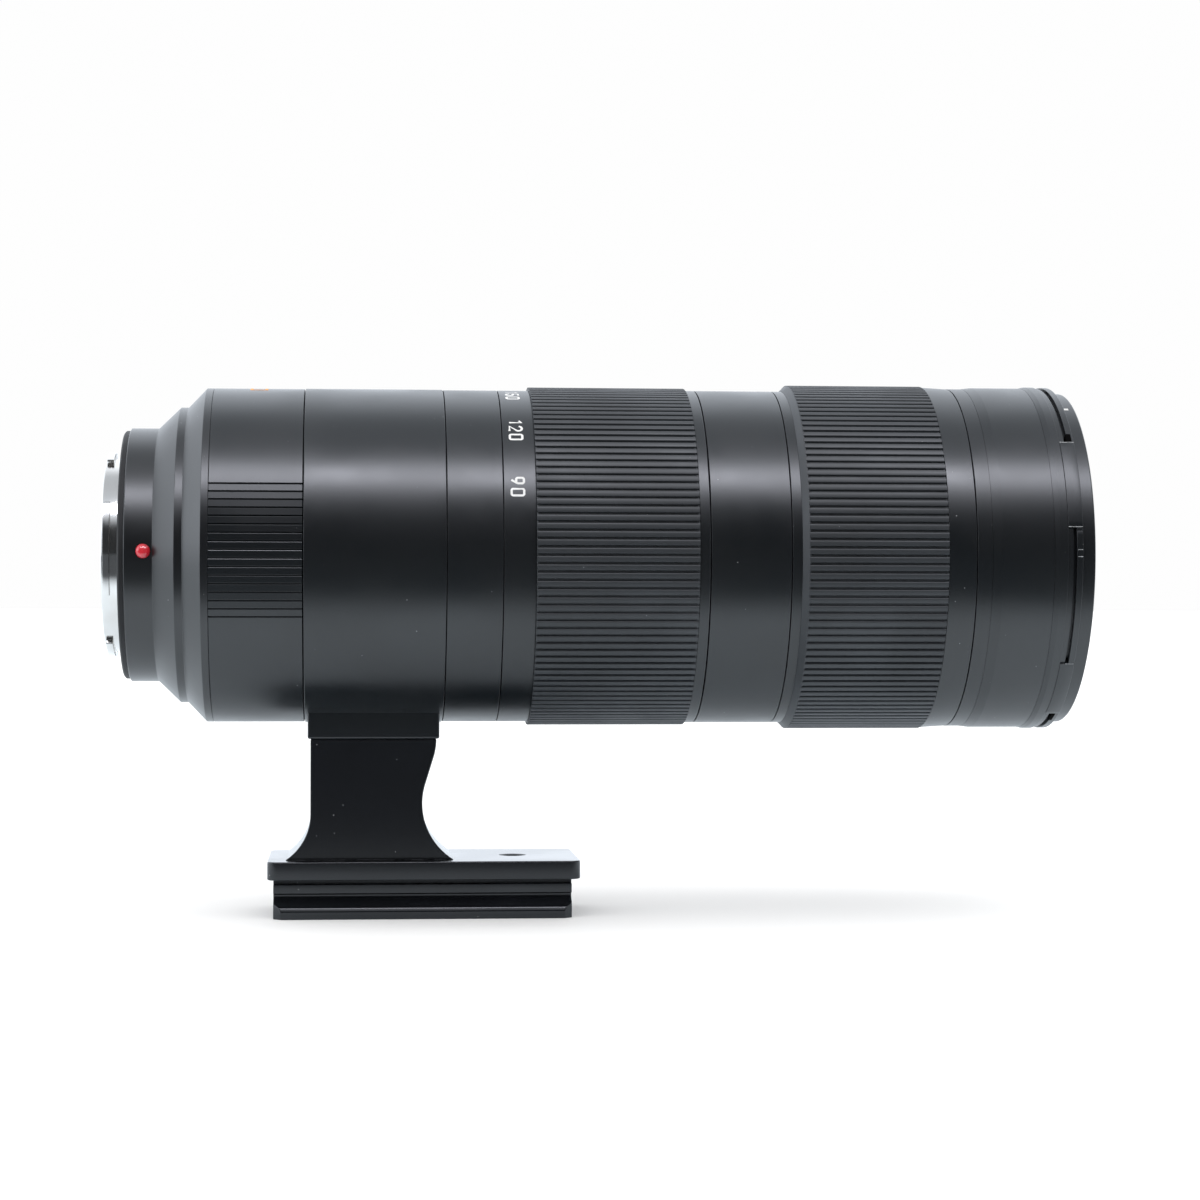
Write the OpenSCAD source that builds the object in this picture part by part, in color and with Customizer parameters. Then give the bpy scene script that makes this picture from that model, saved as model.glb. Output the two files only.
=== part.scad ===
// Telephoto zoom lens for a mirrorless camera, with internal zoom and focus and a turning tripod foot.
// The origin is the centre of the camera flange face, +X runs along the optical axis to the front, +Z is up.
// Angles round the barrel are counted from the near side (-Y) upwards. All lengths are millimetres.

/* [Rear cover] */
// Step of the neck outside the flange plate
neck_step = 1.7; // [1.2:0.1:2.4]
// Length from the flange face to the first cone
neck_len = 7.7; // [7.5:0.1:10]
// Length of the first cone
cone_len = 5.5; // [4:0.1:8]
// Drop from the barrel to the band between the two cones
band_drop = 4.8; // [3.6:0.1:5.4]
// Length of the band between the two cones
band_len = 2.2; // [1.8:0.1:5]
// Length of the second cone
shoulder_len = 4.4; // [3.4:0.1:8]
// Length of the straight rim in front of the second cone
rim_len = 1.4; // [1:0.1:4]
// Wall of the rear cover round the circuit board
cover_wall = 2.9; // [2:0.1:3.4]
// Depth of the seat that takes the main tube
cone_seat = 2; // [1.2:0.1:2.4]
// Diameter of the alignment bead
bead_d = 3.7; // [3:0.1:4.4]
// Distance of the alignment bead behind the first cone
bead_back = 2.1; // [1.9:0.1:2.8]

/* [Barrel] */
// Outer radius of the fixed barrel sections
barrel_r = 42; // [38:0.1:47]
// Height of the tripod collar above the fixed sections
collar_step = 0.2; // [0.1:0.05:0.8]
// Height of the section between the rings above the other fixed sections
mid_step = 0.4; // [0.1:0.05:0.8]
// Height of the front section above the other fixed sections
front_step = 1.7; // [1.2:0.1:2.5]
// Wall of the outer sections and the turning rings
shell_wall = 2.2; // [1.9:0.1:2.5]
// Wall of the main tube
tube_wall = 1.8; // [1.4:0.1:2.2]
// Length of the rear section
rear_len = 22.85; // [18:0.05:30]
// Length of the tripod collar
collar_len = 34.6; // [32:0.1:38]
// Length of the section with the index mark
index_len = 13.7; // [12:0.1:18]
// Length of the zoom ring
zoom_len = 50.3; // [47:0.1:56]
// Length of the section between the zoom and focus rings
mid_len = 19.85; // [15:0.05:26]
// Length of the focus ring
focus_len = 45.4; // [43:0.1:50]
// Length of the front section
front_len = 29.5; // [28:0.1:34]
// Chamfer on the outer edges of the sections
edge = 0.3; // [0.1:0.05:0.5]
// Number of grip grooves on each side of the rear section
groove_count = 18; // [8:1:22]
// Angle between two grip grooves
groove_pitch = 2.66; // [2.2:0.02:3.2]
// Width of a grip groove
groove_w = 0.7; // [0.4:0.05:1]
// Depth of a grip groove
groove_depth = 0.45; // [0.2:0.05:0.8]

/* [Fits] */
// Radial running gap between a ring and the tube that it turns on
run_gap = 0.1; // [0.06:0.01:0.15]
// Gap at each seam beside a turning ring
seam_gap = 0.3; // [0.2:0.05:0.5]
// Radial gap between the tubes and cells that slide inside
slide_gap = 0.2; // [0.12:0.02:0.3]
// Radial gap round pins, rods and screws
pin_gap = 0.1; // [0.05:0.01:0.15]

/* [Zoom ring] */
// Length of the scale band behind the zoom grip
scale_len = 7.35; // [6:0.05:8]
// Length of the smooth edge in front of the zoom grip
zoom_edge_len = 2.15; // [1.5:0.05:4]
// Height of the zoom grip above the fixed sections
zoom_grip_step = 1.1; // [0.6:0.1:2]
// Number of ribs on the zoom grip
zoom_ribs = 133; // [90:1:150]
// Thickness of the rubber grips at a rib
grip_t = 1.8; // [1.4:0.1:2]
// Depth of the valleys between ribs
rib_depth = 0.7; // [0.3:0.05:0.9]
// Radius of the key that couples the zoom ring to the cam tube
key_r = 1.9; // [1.5:0.1:2.4]
// Turn of the zoom ring from the rest pose to the wide end, in degrees
turn_wide = 68; // [50:1:72]
// Turn of the zoom ring from the rest pose to the long end, in degrees
turn_tele = 30; // [20:1:34]

/* [Focus ring] */
// Length of the sloped edge behind the focus grip
focus_edge_len = 2; // [1.5:0.1:3]
// Length of the smooth band in front of the focus grip
focus_band_len = 6.8; // [5:0.1:10]
// Height of the focus grip above the fixed sections
focus_grip_step = 2.1; // [1.6:0.1:3]
// Height of the smooth band of the focus ring above the fixed sections
focus_band_step = 1.6; // [1:0.1:2]
// Number of ribs on the focus grip
focus_ribs = 137; // [90:1:150]

/* [Camera mount] */
// Width of the flange seat outside the relief groove
seat_w = 3.9; // [3.6:0.1:4.4]
// Thickness of the flange plate
flange_t = 2; // [1.8:0.1:2.4]
// Inner radius of the mount
throat_r = 22.6; // [22.2:0.1:23]
// Wall of the register behind the flange
register_wall = 1.8; // [1.4:0.1:2.2]
// Length of the register behind the flange face
register_len = 5.1; // [4.8:0.1:5.6]
// Height of a bayonet lug
lug_h = 1.3; // [1:0.1:1.5]
// Thickness of a bayonet lug
lug_t = 1.7; // [1.3:0.1:2.2]
// Number of bayonet lugs
lug_count = 4; // [3:1:4]
// Angle that a bayonet lug covers
lug_angle = 54; // [30:1:58]
// Angle of the middle of the first bayonet lug
lug_first = 93; // [60:1:120]
// Width of the relief groove outside the lugs
relief_gap = 0.6; // [0.3:0.1:0.8]
// Width of the dust seal
seal_w = 2.2; // [1.8:0.1:2.8]
// Height of the dust seal behind the flange face
seal_lip = 0.3; // [0.2:0.05:0.5]
// Number of flange screws
flange_screws = 6; // [4:1:8]
// Radius of a flange screw
flange_screw_r = 1; // [0.8:0.1:1.2]
// Number of electrical contacts
contact_count = 10; // [6:1:12]

/* [Front and hood] */
// Wall of the rim round the filter thread
filter_wall = 2.4; // [2:0.1:3]
// Length of the filter thread
filter_len = 5.5; // [4:0.1:7]
// Height of the hood bayonet land above the front section
hood_step = 0.3; // [0.1:0.1:0.9]
// Length of the hood bayonet land
hood_len = 8.3; // [7:0.1:10]
// Drop from the front section to the rim in front of the hood bayonet
rim_drop = 0.7; // [0.3:0.1:1.1]
// Length of the rim in front of the hood bayonet
front_rim_len = 2.9; // [2.2:0.1:4]
// Depth of the hood bayonet pockets
pocket_depth = 1.3; // [1:0.1:1.8]
// Width of the hood bayonet pockets
pocket_w = 3.6; // [3:0.1:5]
// Width of the deep channel at the rear of a pocket
channel_w = 1.3; // [0.8:0.1:2]
// Angle that a hood bayonet pocket covers
pocket_angle = 46; // [30:1:60]
// Angle of the middle of the first pocket
pocket_first = 65.4; // [50:0.1:80]
// Angle between two pockets
pocket_pitch = 80.3; // [72:0.1:88]
// Depth of the ring that holds the front glass
retainer_t = 5.4; // [5:0.1:7]

/* [Tripod foot] */
// Distance of the boss face below the collar surface
boss_drop = 3.7; // [3.4:0.1:6]
// Width of the boss across the axis
boss_w = 30; // [28.6:0.1:34]
// Height of the stem between the boss and the plate
stem_h = 30.6; // [26:0.1:40]
// Width of the stem across the axis
stem_w = 28; // [24:0.1:28.2]
// Length of the plate along the axis
plate_len = 77.5; // [74:0.5:90]
// Width of the plate
plate_w = 38; // [36:0.5:44]
// Thickness of the plate
plate_t = 4.5; // [3.5:0.1:6]
// Distance that the plate starts behind the collar
plate_back = 8.95; // [8:0.05:12]
// Corner radius of the plate
plate_corner = 2.7; // [1:0.1:5]
// Width of the dovetail at its lip
dovetail_w = 38; // [35:0.5:40]
// Distance that the dovetail stops short of each end of the plate
dovetail_inset = 1.9; // [1:0.1:4]
// Height of the relief under the plate
relief_h = 1.6; // [1:0.1:2.5]
// Height of the straight neck of the dovetail
dove_neck_h = 1.8; // [1:0.1:3]
// Height and run of the sloped flank of the dovetail
flank = 4.7; // [3.5:0.1:5.5]
// Height of the lip of the dovetail
lip_h = 1.4; // [1:0.1:2.5]
// Distance of the tripod socket from the front end of the plate
socket_back = 15.9; // [12:0.1:18]
// Core radius of the tripod socket thread
socket_r = 2.6; // [2.5:0.05:4]
// Radius of the screws that hold the foot
foot_screw_r = 2.5; // [2:0.1:2.8]
// Radius of the heads of the foot screws
foot_head_r = 4.25; // [3.8:0.05:4.4]

/* [Clamp] */
// Radius of the clamp knob
knob_r = 8; // [7:0.1:10]
// Height of the clamp knob
knob_h = 8; // [6:0.1:11]
// Number of flutes on the clamp knob
knob_flutes = 20; // [12:1:28]
// Radius of the threaded stud of the knob
stud_r = 2.5; // [2:0.1:2.8]
// Height of the pad on the collar that takes the stud
pad_h = 2.4; // [2:0.1:4]

/* [Zoom groups] */
// Travel of the variator over the whole zoom range
variator_travel = 28; // [20:1:30]
// Travel of the compensator over the whole zoom range
compensator_travel = 14; // [8:1:16]
// Length of a zoom cell
zoom_cell_len = 14; // [12:0.5:15]
// Radius of the follower pins
follower_r = 1.8; // [1.4:0.1:2.2]
// Wall of the cam tube
cam_wall = 1.5; // [1.2:0.1:1.8]
// Wall of the guide tube
guide_wall = 1.8; // [1.4:0.1:2.2]
// Radius of the variator glass
variator_r = 22; // [18:0.5:24]
// Radius of the compensator glass
compensator_r = 20; // [17:0.5:23]

/* [Focus group] */
// Travel of the focus group to each side of the rest pose
focus_travel = 6; // [3:0.5:6.5]
// Radius of the focus glass
focus_glass_r = 20; // [17:0.5:21]
// Length of the focus cell
focus_cell_len = 10; // [9:0.5:11]
// Radius of the guide rods
rod_r = 1.25; // [1:0.05:1.5]
// Distance of the guide rods from the bore of the main tube
rod_inset = 7; // [6:0.1:7.6]
// Radius of the lead screw
screw_r = 1.5; // [1.2:0.1:1.8]
// Radius of the focus motor
motor_r = 5; // [4:0.1:6]
// Length of the focus motor
motor_len = 10; // [8:0.1:11]

/* [Iris] */
// Number of iris blades
blade_count = 9; // [9:1:9]
// Thickness of an iris blade
blade_t = 0.15; // [0.1:0.01:0.2]
// Axial step from one blade to the next
blade_step = 0.25; // [0.22:0.01:0.4]
// Clear radius of the open iris
iris_open_r = 16; // [14:0.1:17]
// Distance of the blade pivots from the wall of the iris housing
pivot_inset = 4; // [3.6:0.1:4.4]
// Turn of a blade from open to closed, in degrees
blade_turn = 34; // [20:1:34]
// Turn of a blade for each degree of the drive ring
blade_ratio = 2; // [1.6:0.1:3]
// Radius of the blade pins
blade_pin_r = 0.6; // [0.5:0.05:0.7]

/* [Hidden] */
$fn = 128;
eps = 0.02;

// Stations along the optical axis
x_cone = neck_len;
x_band = x_cone + cone_len;
x_shoulder = x_band + band_len;
x_a = x_shoulder + shoulder_len + rim_len;
x_b = x_a + rear_len;
x_c = x_b + collar_len;
x_z = x_c + index_len;
x_e = x_z + zoom_len;
x_f = x_e + mid_len;
x_g = x_f + focus_len;
x_front = x_g + front_len;

// Radii of the nested tubes, from the outside in
tube_r = barrel_r - shell_wall;
tube_in = tube_r - tube_wall;
ring_in = tube_r + run_gap;
cam_r = tube_in - slide_gap;
cam_in = cam_r - cam_wall;
guide_r = cam_in - slide_gap;
guide_in = guide_r - guide_wall;
cell_r = guide_in - slide_gap;

// Outer radii of the sections and rings
collar_r = barrel_r + collar_step;
mid_r = barrel_r + mid_step;
zoom_grip_r = barrel_r + zoom_grip_step;
focus_band_r = barrel_r + focus_band_step;
focus_grip_r = barrel_r + focus_grip_step;
front_r = barrel_r + front_step;
band_r = barrel_r - band_drop;
zoom_grip_len = zoom_len - seam_gap - scale_len - zoom_edge_len;
focus_grip_len = focus_len - seam_gap - focus_edge_len - focus_band_len;

// Rear end
register_r = throat_r + register_wall;
lug_r = register_r + lug_h;
lug_back = 0.45;
relief_r = lug_r + relief_gap;
flange_r = relief_r + seat_w;
seal_r = flange_r + seal_w;
neck_r = flange_r + neck_step;
bead_x = x_cone - bead_back;
bead_seat = 1.6;
seal_t = 0.8;
floor_r = register_r + 0.1;
floor_t = 3;
neck_in = neck_r - 3.9;
board_r = band_r - cover_wall;
board_t = 1.6;
x_rear_cell = 3;
rear_cell_r = register_r - 0.9;
rear_glass_r = rear_cell_r - 5;
board_in = rear_cell_r + 1.1;
rear_seat_x = 8;
rear_glass_t = 3;
x_rear_flange = x_a + 6.8;
flange_plate = 3;
baffle_r = throat_r - 3.2;
baffle_wall = 1.2;
window_h = 21;
window_w = 2 * sqrt(pow(baffle_r - baffle_wall - 0.2, 2) - pow(window_h / 2, 2));
block_in = baffle_r + pin_gap;
contact_r = 0.6;
contact_pos = (block_in + throat_r) / 2;
contact_mid = -90;
contact_span = 70;
screw_pos = (relief_r + flange_r) / 2;

// Front end
tube_lap = 6;
x_lap = x_g + tube_lap;
hood_r = front_r + hood_step;
rim_r = front_r - rim_drop;
pocket_r = hood_r - pocket_depth;
land_step = 0.15;
filter_r = rim_r - filter_wall;
front_cell_r = filter_r - 1.2;
x_thread = x_front - filter_len;
x_retainer = x_thread - retainer_t;
x_hood = x_front - front_rim_len - hood_len;
x_pocket = x_front - front_rim_len - pocket_w;
front_glass_r = front_cell_r - 1.4;
front_glass_t = 4;
front_sag = 4.6;
glass_land = 2.2;
front_clear_r = front_glass_r - 1.2;
doublet_r = guide_r - 0.6;
doublet_t = 9.5;
x_doublet = x_g - 6.9;
x_front_cell = x_g - 19.9;
cell_socket = 4;

// Zoom mechanism
x_bulk = x_c + 5.35;
bulk_t = 3;
bulk_hole = 19;
x_key = x_z + 12.95;
key_angle = 90;
x_cam = x_z + 6.25;
x_cam_end = x_front_cell - seam_gap;
x_variator = x_e + 14.5;
x_compensator = x_z + 30;
turn_total = turn_wide + turn_tele;
variator_slope = -variator_travel / turn_total;
compensator_slope = compensator_travel / turn_total;
variator_phase = 30;
compensator_phase = 90;
follower_out = tube_in - 0.4;
slot_end = follower_r + 0.8;
cell_sleeve = 1.6;
cell_rim = 2.4;
cell_web = 1.5;
cell_lip = 1;
variator_edge = 3.6;
compensator_edge = 3.4;

// Focus mechanism
rod_pos = tube_in - rod_inset;
x_focus = x_b + 14;
rod_angle = 20;
screw_angle = rod_angle + 90;
lug_wall = 1.75;
x_screw = x_focus - focus_travel - focus_cell_len / 2 - 2;
x_motor = x_bulk - motor_len;
screw_depth = 3;

// Iris
x_iris = x_bulk + bulk_t;
iris_plate = 2;
iris_wall = 2.3;
iris_in = guide_in - iris_wall;
pivot_pos = iris_in - pivot_inset;
blade_tab = 2;
x_blades = x_iris + iris_plate + seam_gap;
x_drive = x_blades + blade_count * blade_step + seam_gap;
drive_t = 1.5;
x_cover = x_drive + drive_t + seam_gap;
cover_t = 1.5;
blade_in = iris_open_r + 0.2;
blade_out = pivot_pos - 3.4;
blade_span = 105;
drive_offset = 10;
iris_pin_gap = pin_gap / 2;

// Clamp, boss and foot
x_clamp = (x_b + x_c) / 2;
clamp_angle = 180;
pad_r = knob_r + 0.5;
pad_top = collar_r + pad_h;
shoe_r = stud_r + 0.5;
shoe_t = 1.1;
boss_x0 = x_b + 0.75;
boss_x1 = x_c - seam_gap - 0.75;
boss_chamfer = 0.7;
z_boss = -(collar_r + boss_drop);
z_plate = z_boss - stem_h;
z_relief = z_plate - plate_t;
z_neck = z_relief - relief_h;
z_flank = z_neck - dove_neck_h;
z_lip = z_flank - flank;
z_foot = z_lip - lip_h;
plate_x0 = x_b - plate_back;
plate_x1 = plate_x0 + plate_len;
stem_x0 = boss_x0 + boss_chamfer;
stem_x1 = boss_x1 - boss_chamfer;
stem_neck_x = stem_x1 - 3.5;
stem_neck_z = z_plate + 14.4;
flare_rear_r = 13.7;
flare_rear_a = 57;
flare_front_r = 16.5;
flare_front_a = asin((stem_neck_z - z_plate) / flare_front_r);
stem_lean = 14.8;
stem_top_r = 16;
x_socket = plate_x1 - socket_back;
foot_screw_x = [stem_x0 + 6.5, stem_neck_x - 7.2];
foot_seat = 6.1;
foot_head_h = 5;
foot_bore_r = foot_head_r + 0.35;
boss_hole_depth = 4.4;

// Points of an arc about a centre, from angle a0 to angle a1
function arc(c, r, a0, a1, n = 10) =
    [for (i = [0:n]) let (a = a0 + (a1 - a0) * i / n) c + r * [cos(a), sin(a)]];

// A plane vector turned by an angle
function turn2(v, a) = [v[0] * cos(a) - v[1] * sin(a), v[0] * sin(a) + v[1] * cos(a)];

// Height of a spherical cap of rim radius r and sag s at the distance q from its middle
function cap(r, s, q) =
    let (ball = (r * r + s * s) / (2 * abs(s)))
    sign(s) * (sqrt(ball * ball - q * q) - sqrt(ball * ball - r * r));

// Profile of a glass element between its two edge stations, with a flat land and the sag of each face
function glass_profile(r, x0, x1, sag0, sag1, n = 10) =
    let (q = r - glass_land)
    concat(
        [for (i = [0:n]) [q * i / n, x0 - cap(q, sag0, q * i / n)]],
        [[r, x0], [r, x1]],
        [for (i = [n:-1:0]) [q * i / n, x1 + cap(q, sag1, q * i / n)]]
    );

// Middle of a drive ring slot when the blade has turned by the share t of its range
function slot_mid(t) =
    let (pivot = [pivot_pos, 0])
    let (pin = turn2(pivot, drive_offset))
    turn2(pivot + turn2(pin - pivot, t * blade_turn), -t * blade_turn / blade_ratio);

// Unit vector across a drive ring slot
function slot_side(t) =
    let (d = slot_mid(t + 0.01) - slot_mid(t - 0.01))
    [-d[1], d[0]] / norm(d);

// Ring about the optical axis from a profile of [radius, x] points
module turned(profile) {
    rotate([0, 90, 0])
        rotate_extrude()
            polygon(profile);
}

// Plain tube about the optical axis
module tube(x0, x1, r1, r0) {
    turned([[r0, x0], [r1, x0], [r1, x1], [r0, x1]]);
}

// Tube with chamfered outer edges
module shell(x0, x1, r1, r0) {
    turned([[r0, x0], [r1 - edge, x0], [r1, x0 + edge], [r1, x1 - edge], [r1 - edge, x1], [r0, x1]]);
}

// Part of a tube between two angles round the barrel
module tube_sector(x0, x1, r1, r0, a0, a1) {
    rotate([0, 90, 0])
        rotate([0, 0, -90 - a1])
            rotate_extrude(angle = a1 - a0)
                polygon([[r0, x0], [r1, x0], [r1, x1], [r0, x1]]);
}

// Places what is drawn along +Z at an angle round the barrel
module at_angle(a) {
    rotate([90 - a, 0, 0])
        children();
}

// Round pin that points away from the optical axis
module radial_pin(x, a, r, from, to) {
    at_angle(a)
        translate([x, 0, from])
            cylinder(h = to - from, r = r);
}

// Round bar parallel to the optical axis
module axial_bar(a, pos, r, x0, x1) {
    at_angle(a)
        translate([x0, 0, pos])
            rotate([0, 90, 0])
                cylinder(h = x1 - x0, r = r);
}

// Outline turned about the optical axis plane and given a thickness along it
module along_axis(x0, x1) {
    translate([x0, 0, 0])
        rotate([0, 90, 0])
            linear_extrude(height = x1 - x0)
                children();
}

// Ribbed rubber sleeve
module ribbed_sleeve(x0, x1, r1, ribs) {
    step = 360 / ribs;
    marks = [[0.04, 1], [0.3, 1], [0.42, 0], [0.96, 0]];
    outline = [
        for (i = [0:ribs - 1], m = marks)
            let (a = (i + m[0]) * step)
            (r1 - rib_depth * m[1]) * [cos(a), sin(a)]
    ];
    difference() {
        along_axis(x0, x1)
            polygon(outline);
        along_axis(x0 - 1, x1 + 1)
            circle(r = r1 - grip_t);
    }
}

// Slanted slot of the cam tube for one follower
module cam_slot(x_mid, slope, angle, x0, x1) {
    reach = 180 / PI * (follower_r + slide_gap) / (cam_r * sin(atan(abs(slope) * 180 / PI / cam_r)));
    r0 = cam_in - 1;
    r1 = cam_r + 1.5;
    rotate([0, 90, 0])
        translate([0, 0, x0])
            linear_extrude(height = x1 - x0, twist = (x1 - x0) / slope, slices = 24, $fn = 10)
                rotate(-90 - angle - (x0 - x_mid) / slope)
                    polygon(concat(arc([0, 0], r0, -reach, reach, 4), arc([0, 0], r1, reach, -reach, 4)));
}

// Stations between which a follower moves, with room at the ends of its slot
function slot_from(x_mid, slope) = x_mid + min(-turn_wide * slope, turn_tele * slope) - slot_end;
function slot_to(x_mid, slope) = x_mid + max(-turn_wide * slope, turn_tele * slope) + slot_end;

// Cell of a zoom group: an outer sleeve, a web and a seat for the glass
module zoom_cell(x_mid, glass_r, phase) {
    half = zoom_cell_len / 2;
    rim = glass_r + cell_rim;
    bore = cell_r - cell_sleeve;
    difference() {
        turned([
            [glass_r, x_mid - half + cell_lip], [rim, x_mid - half + cell_lip], [rim, x_mid - cell_web],
            [bore, x_mid - cell_web], [bore, x_mid - half], [cell_r, x_mid - half], [cell_r, x_mid + half],
            [bore, x_mid + half], [bore, x_mid + cell_web], [rim, x_mid + cell_web],
            [rim, x_mid + half - cell_lip], [glass_r, x_mid + half - cell_lip], [glass_r, x_mid + cell_lip],
            [glass_r - cell_lip, x_mid + cell_lip], [glass_r - cell_lip, x_mid - cell_lip],
            [glass_r, x_mid - cell_lip]
        ]);
        for (i = [0:2])
            radial_pin(x_mid, phase + 120 * i, follower_r, bore - 1, cell_r + 1);
    }
}

// Three follower pins of a zoom group
module followers(x_mid, phase) {
    for (i = [0:2])
        radial_pin(x_mid, phase + 120 * i, follower_r, cell_r - cell_sleeve, follower_out);
}

// Plate with round corners, flat on XY
module round_plate(x0, x1, w, t, r) {
    translate([x0 + r, -w / 2, 0])
        cube([x1 - x0 - 2 * r, w, t]);
    translate([x0, -w / 2 + r, 0])
        cube([x1 - x0, w - 2 * r, t]);
    for (x = [x0 + r, x1 - r], y = [-w / 2 + r, w / 2 - r])
        translate([x, y, 0])
            cylinder(h = t, r = r);
}

// Chrome bayonet plate with its register, lugs and screw holes
module mount_flange() {
    color("silver")
        difference() {
            union() {
                turned([
                    [throat_r, -register_len], [register_r - 0.3, -register_len],
                    [register_r, 0.3 - register_len],
                    [register_r, 0.4], [relief_r, 0.4], [relief_r, 0], [flange_r, 0], [flange_r, flange_t],
                    [throat_r, flange_t]
                ]);
                for (i = [0:lug_count - 1])
                    tube_sector(
                        lug_back - register_len, lug_back - register_len + lug_t, lug_r, register_r - 0.6,
                        lug_first - i * 360 / lug_count - lug_angle / 2,
                        lug_first - i * 360 / lug_count + lug_angle / 2
                    );
            }
            for (i = [0:flange_screws - 1]) {
                axial_bar(30 + i * 360 / flange_screws, screw_pos, flange_screw_r, -1, flange_t + 1);
                at_angle(30 + i * 360 / flange_screws)
                    translate([-eps, 0, screw_pos])
                        rotate([0, 90, 0])
                            cylinder(h = 1, r1 = flange_screw_r + 0.9, r2 = flange_screw_r);
            }
        }
}

// Countersunk screws that hold the bayonet plate
module mount_screws() {
    color("gainsboro")
        for (i = [0:flange_screws - 1])
            at_angle(30 + i * 360 / flange_screws)
                translate([0.1, 0, screw_pos])
                    rotate([0, 90, 0])
                        difference() {
                            union() {
                                cylinder(h = 0.85, r1 = flange_screw_r + 0.75, r2 = flange_screw_r - eps);
                                cylinder(h = flange_t + floor_t - 0.5, r = flange_screw_r - eps);
                            }
                            for (q = [0, 90])
                                rotate([0, 0, q])
                                    cube([2 * flange_screw_r, 0.4, 0.8], center = true);
                        }
}

// Rubber dust seal round the bayonet plate
module flange_seal() {
    color("black")
        turned([
            [flange_r, -seal_lip + 0.2], [flange_r + 0.6, -seal_lip], [seal_r - 0.3, -seal_lip],
            [seal_r, -seal_lip + 0.3], [seal_r, seal_t], [flange_r, seal_t]
        ]);
}

// Insulating block that carries the electrical contacts
module contact_block() {
    color("dimgray")
        difference() {
            tube_sector(
                -register_len + 0.5, 1, throat_r, block_in,
                contact_mid - contact_span / 2, contact_mid + contact_span / 2
            );
            for (i = [0:contact_count - 1])
                axial_bar(contact_at(i), contact_pos, contact_r, -register_len, -register_len + 2);
        }
}

// Angle of one electrical contact
function contact_at(i) =
    contact_mid + (i - (contact_count - 1) / 2) * (contact_span - 10) / (contact_count - 1);

// Gilt contact pins
module contact_pins() {
    color("gold")
        for (i = [0:contact_count - 1])
            axial_bar(contact_at(i), contact_pos, contact_r, -register_len + 0.1, -register_len + 2);
}

// Black light baffle behind the rear glass
module rear_baffle() {
    color("black")
        difference() {
            turned([
                [0, 1.6], [baffle_r - baffle_wall, 1.6], [baffle_r - baffle_wall, -register_len + 2],
                [baffle_r, -register_len + 2],
                [baffle_r, 1], [throat_r, 1], [throat_r, x_rear_cell], [0, x_rear_cell]
            ]);
            translate([0, -window_w / 2, -window_h / 2])
                cube([3 * x_rear_cell, window_w, window_h]);
        }
}

// Stepped rear cover with two cones
module mount_cone() {
    color([0.16, 0.16, 0.17])
        difference() {
            turned([
                [flange_r, seal_t], [neck_r, seal_t], [neck_r, x_cone], [band_r, x_band],
                [band_r, x_shoulder],
                [barrel_r, x_shoulder + shoulder_len], [barrel_r, x_a - edge], [barrel_r - edge, x_a],
                [tube_r, x_a], [tube_r, x_a - cone_seat], [board_r, x_a - cone_seat], [board_r, x_band],
                [neck_in, x_band], [neck_in, flange_t + floor_t], [floor_r, flange_t + floor_t],
                [floor_r, flange_t], [flange_r, flange_t]
            ]);
            radial_pin(bead_x, 0, bead_d / 2, neck_r - bead_seat, neck_r + 2);
            for (i = [0:flange_screws - 1])
                axial_bar(
                    30 + i * 360 / flange_screws, screw_pos, flange_screw_r, flange_t - 1, flange_t + floor_t
                );
        }
}

// Red alignment bead set in the neck
module index_bead() {
    color("crimson")
        at_angle(0)
            translate([bead_x, 0, neck_r - bead_seat])
                rotate_extrude()
                    polygon(concat(
                        [[0, 0], [bead_d / 2, 0]],
                        [
                            for (i = [0:8])
                                let (q = bead_d / 2 * (1 - i / 8))
                                [q, bead_seat - 0.1 + cap(bead_d / 2, 0.9, q)]
                        ]
                    ));
}

// Rear barrel section with its two fields of grip grooves
module rear_barrel() {
    color([0.13, 0.13, 0.14])
        difference() {
            shell(x_a, x_b - seam_gap, barrel_r, tube_r);
            for (side = [0, 180], i = [0:groove_count - 1])
                at_angle(side + (i - (groove_count - 1) / 2) * groove_pitch)
                    translate([x_a - 1, -groove_w / 2, barrel_r - groove_depth])
                        cube([rear_len + 2, groove_w, 2]);
        }
}

// Main tube that carries every fixed and turning section
module main_tube() {
    color("gray")
        difference() {
            tube(x_a - cone_seat, x_lap, tube_r, tube_in);
            tube_sector(
                x_key - key_r - seam_gap, x_key + key_r + seam_gap, tube_r + 1, tube_in - 1,
                key_angle - turn_tele - 5, key_angle + turn_wide + 5
            );
        }
}

// Fixed section with the index mark
module index_barrel() {
    color([0.13, 0.13, 0.14])
        difference() {
            shell(x_c, x_z - seam_gap, barrel_r, tube_r);
            at_angle(90)
                translate([x_z - seam_gap - 5, -0.3, barrel_r - 0.2])
                    cube([4.2, 0.6, 1]);
        }
}

// Fixed section between the zoom and focus rings
module mid_barrel() {
    color([0.13, 0.13, 0.14])
        shell(x_e, x_f - seam_gap, mid_r, tube_r);
}

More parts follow.
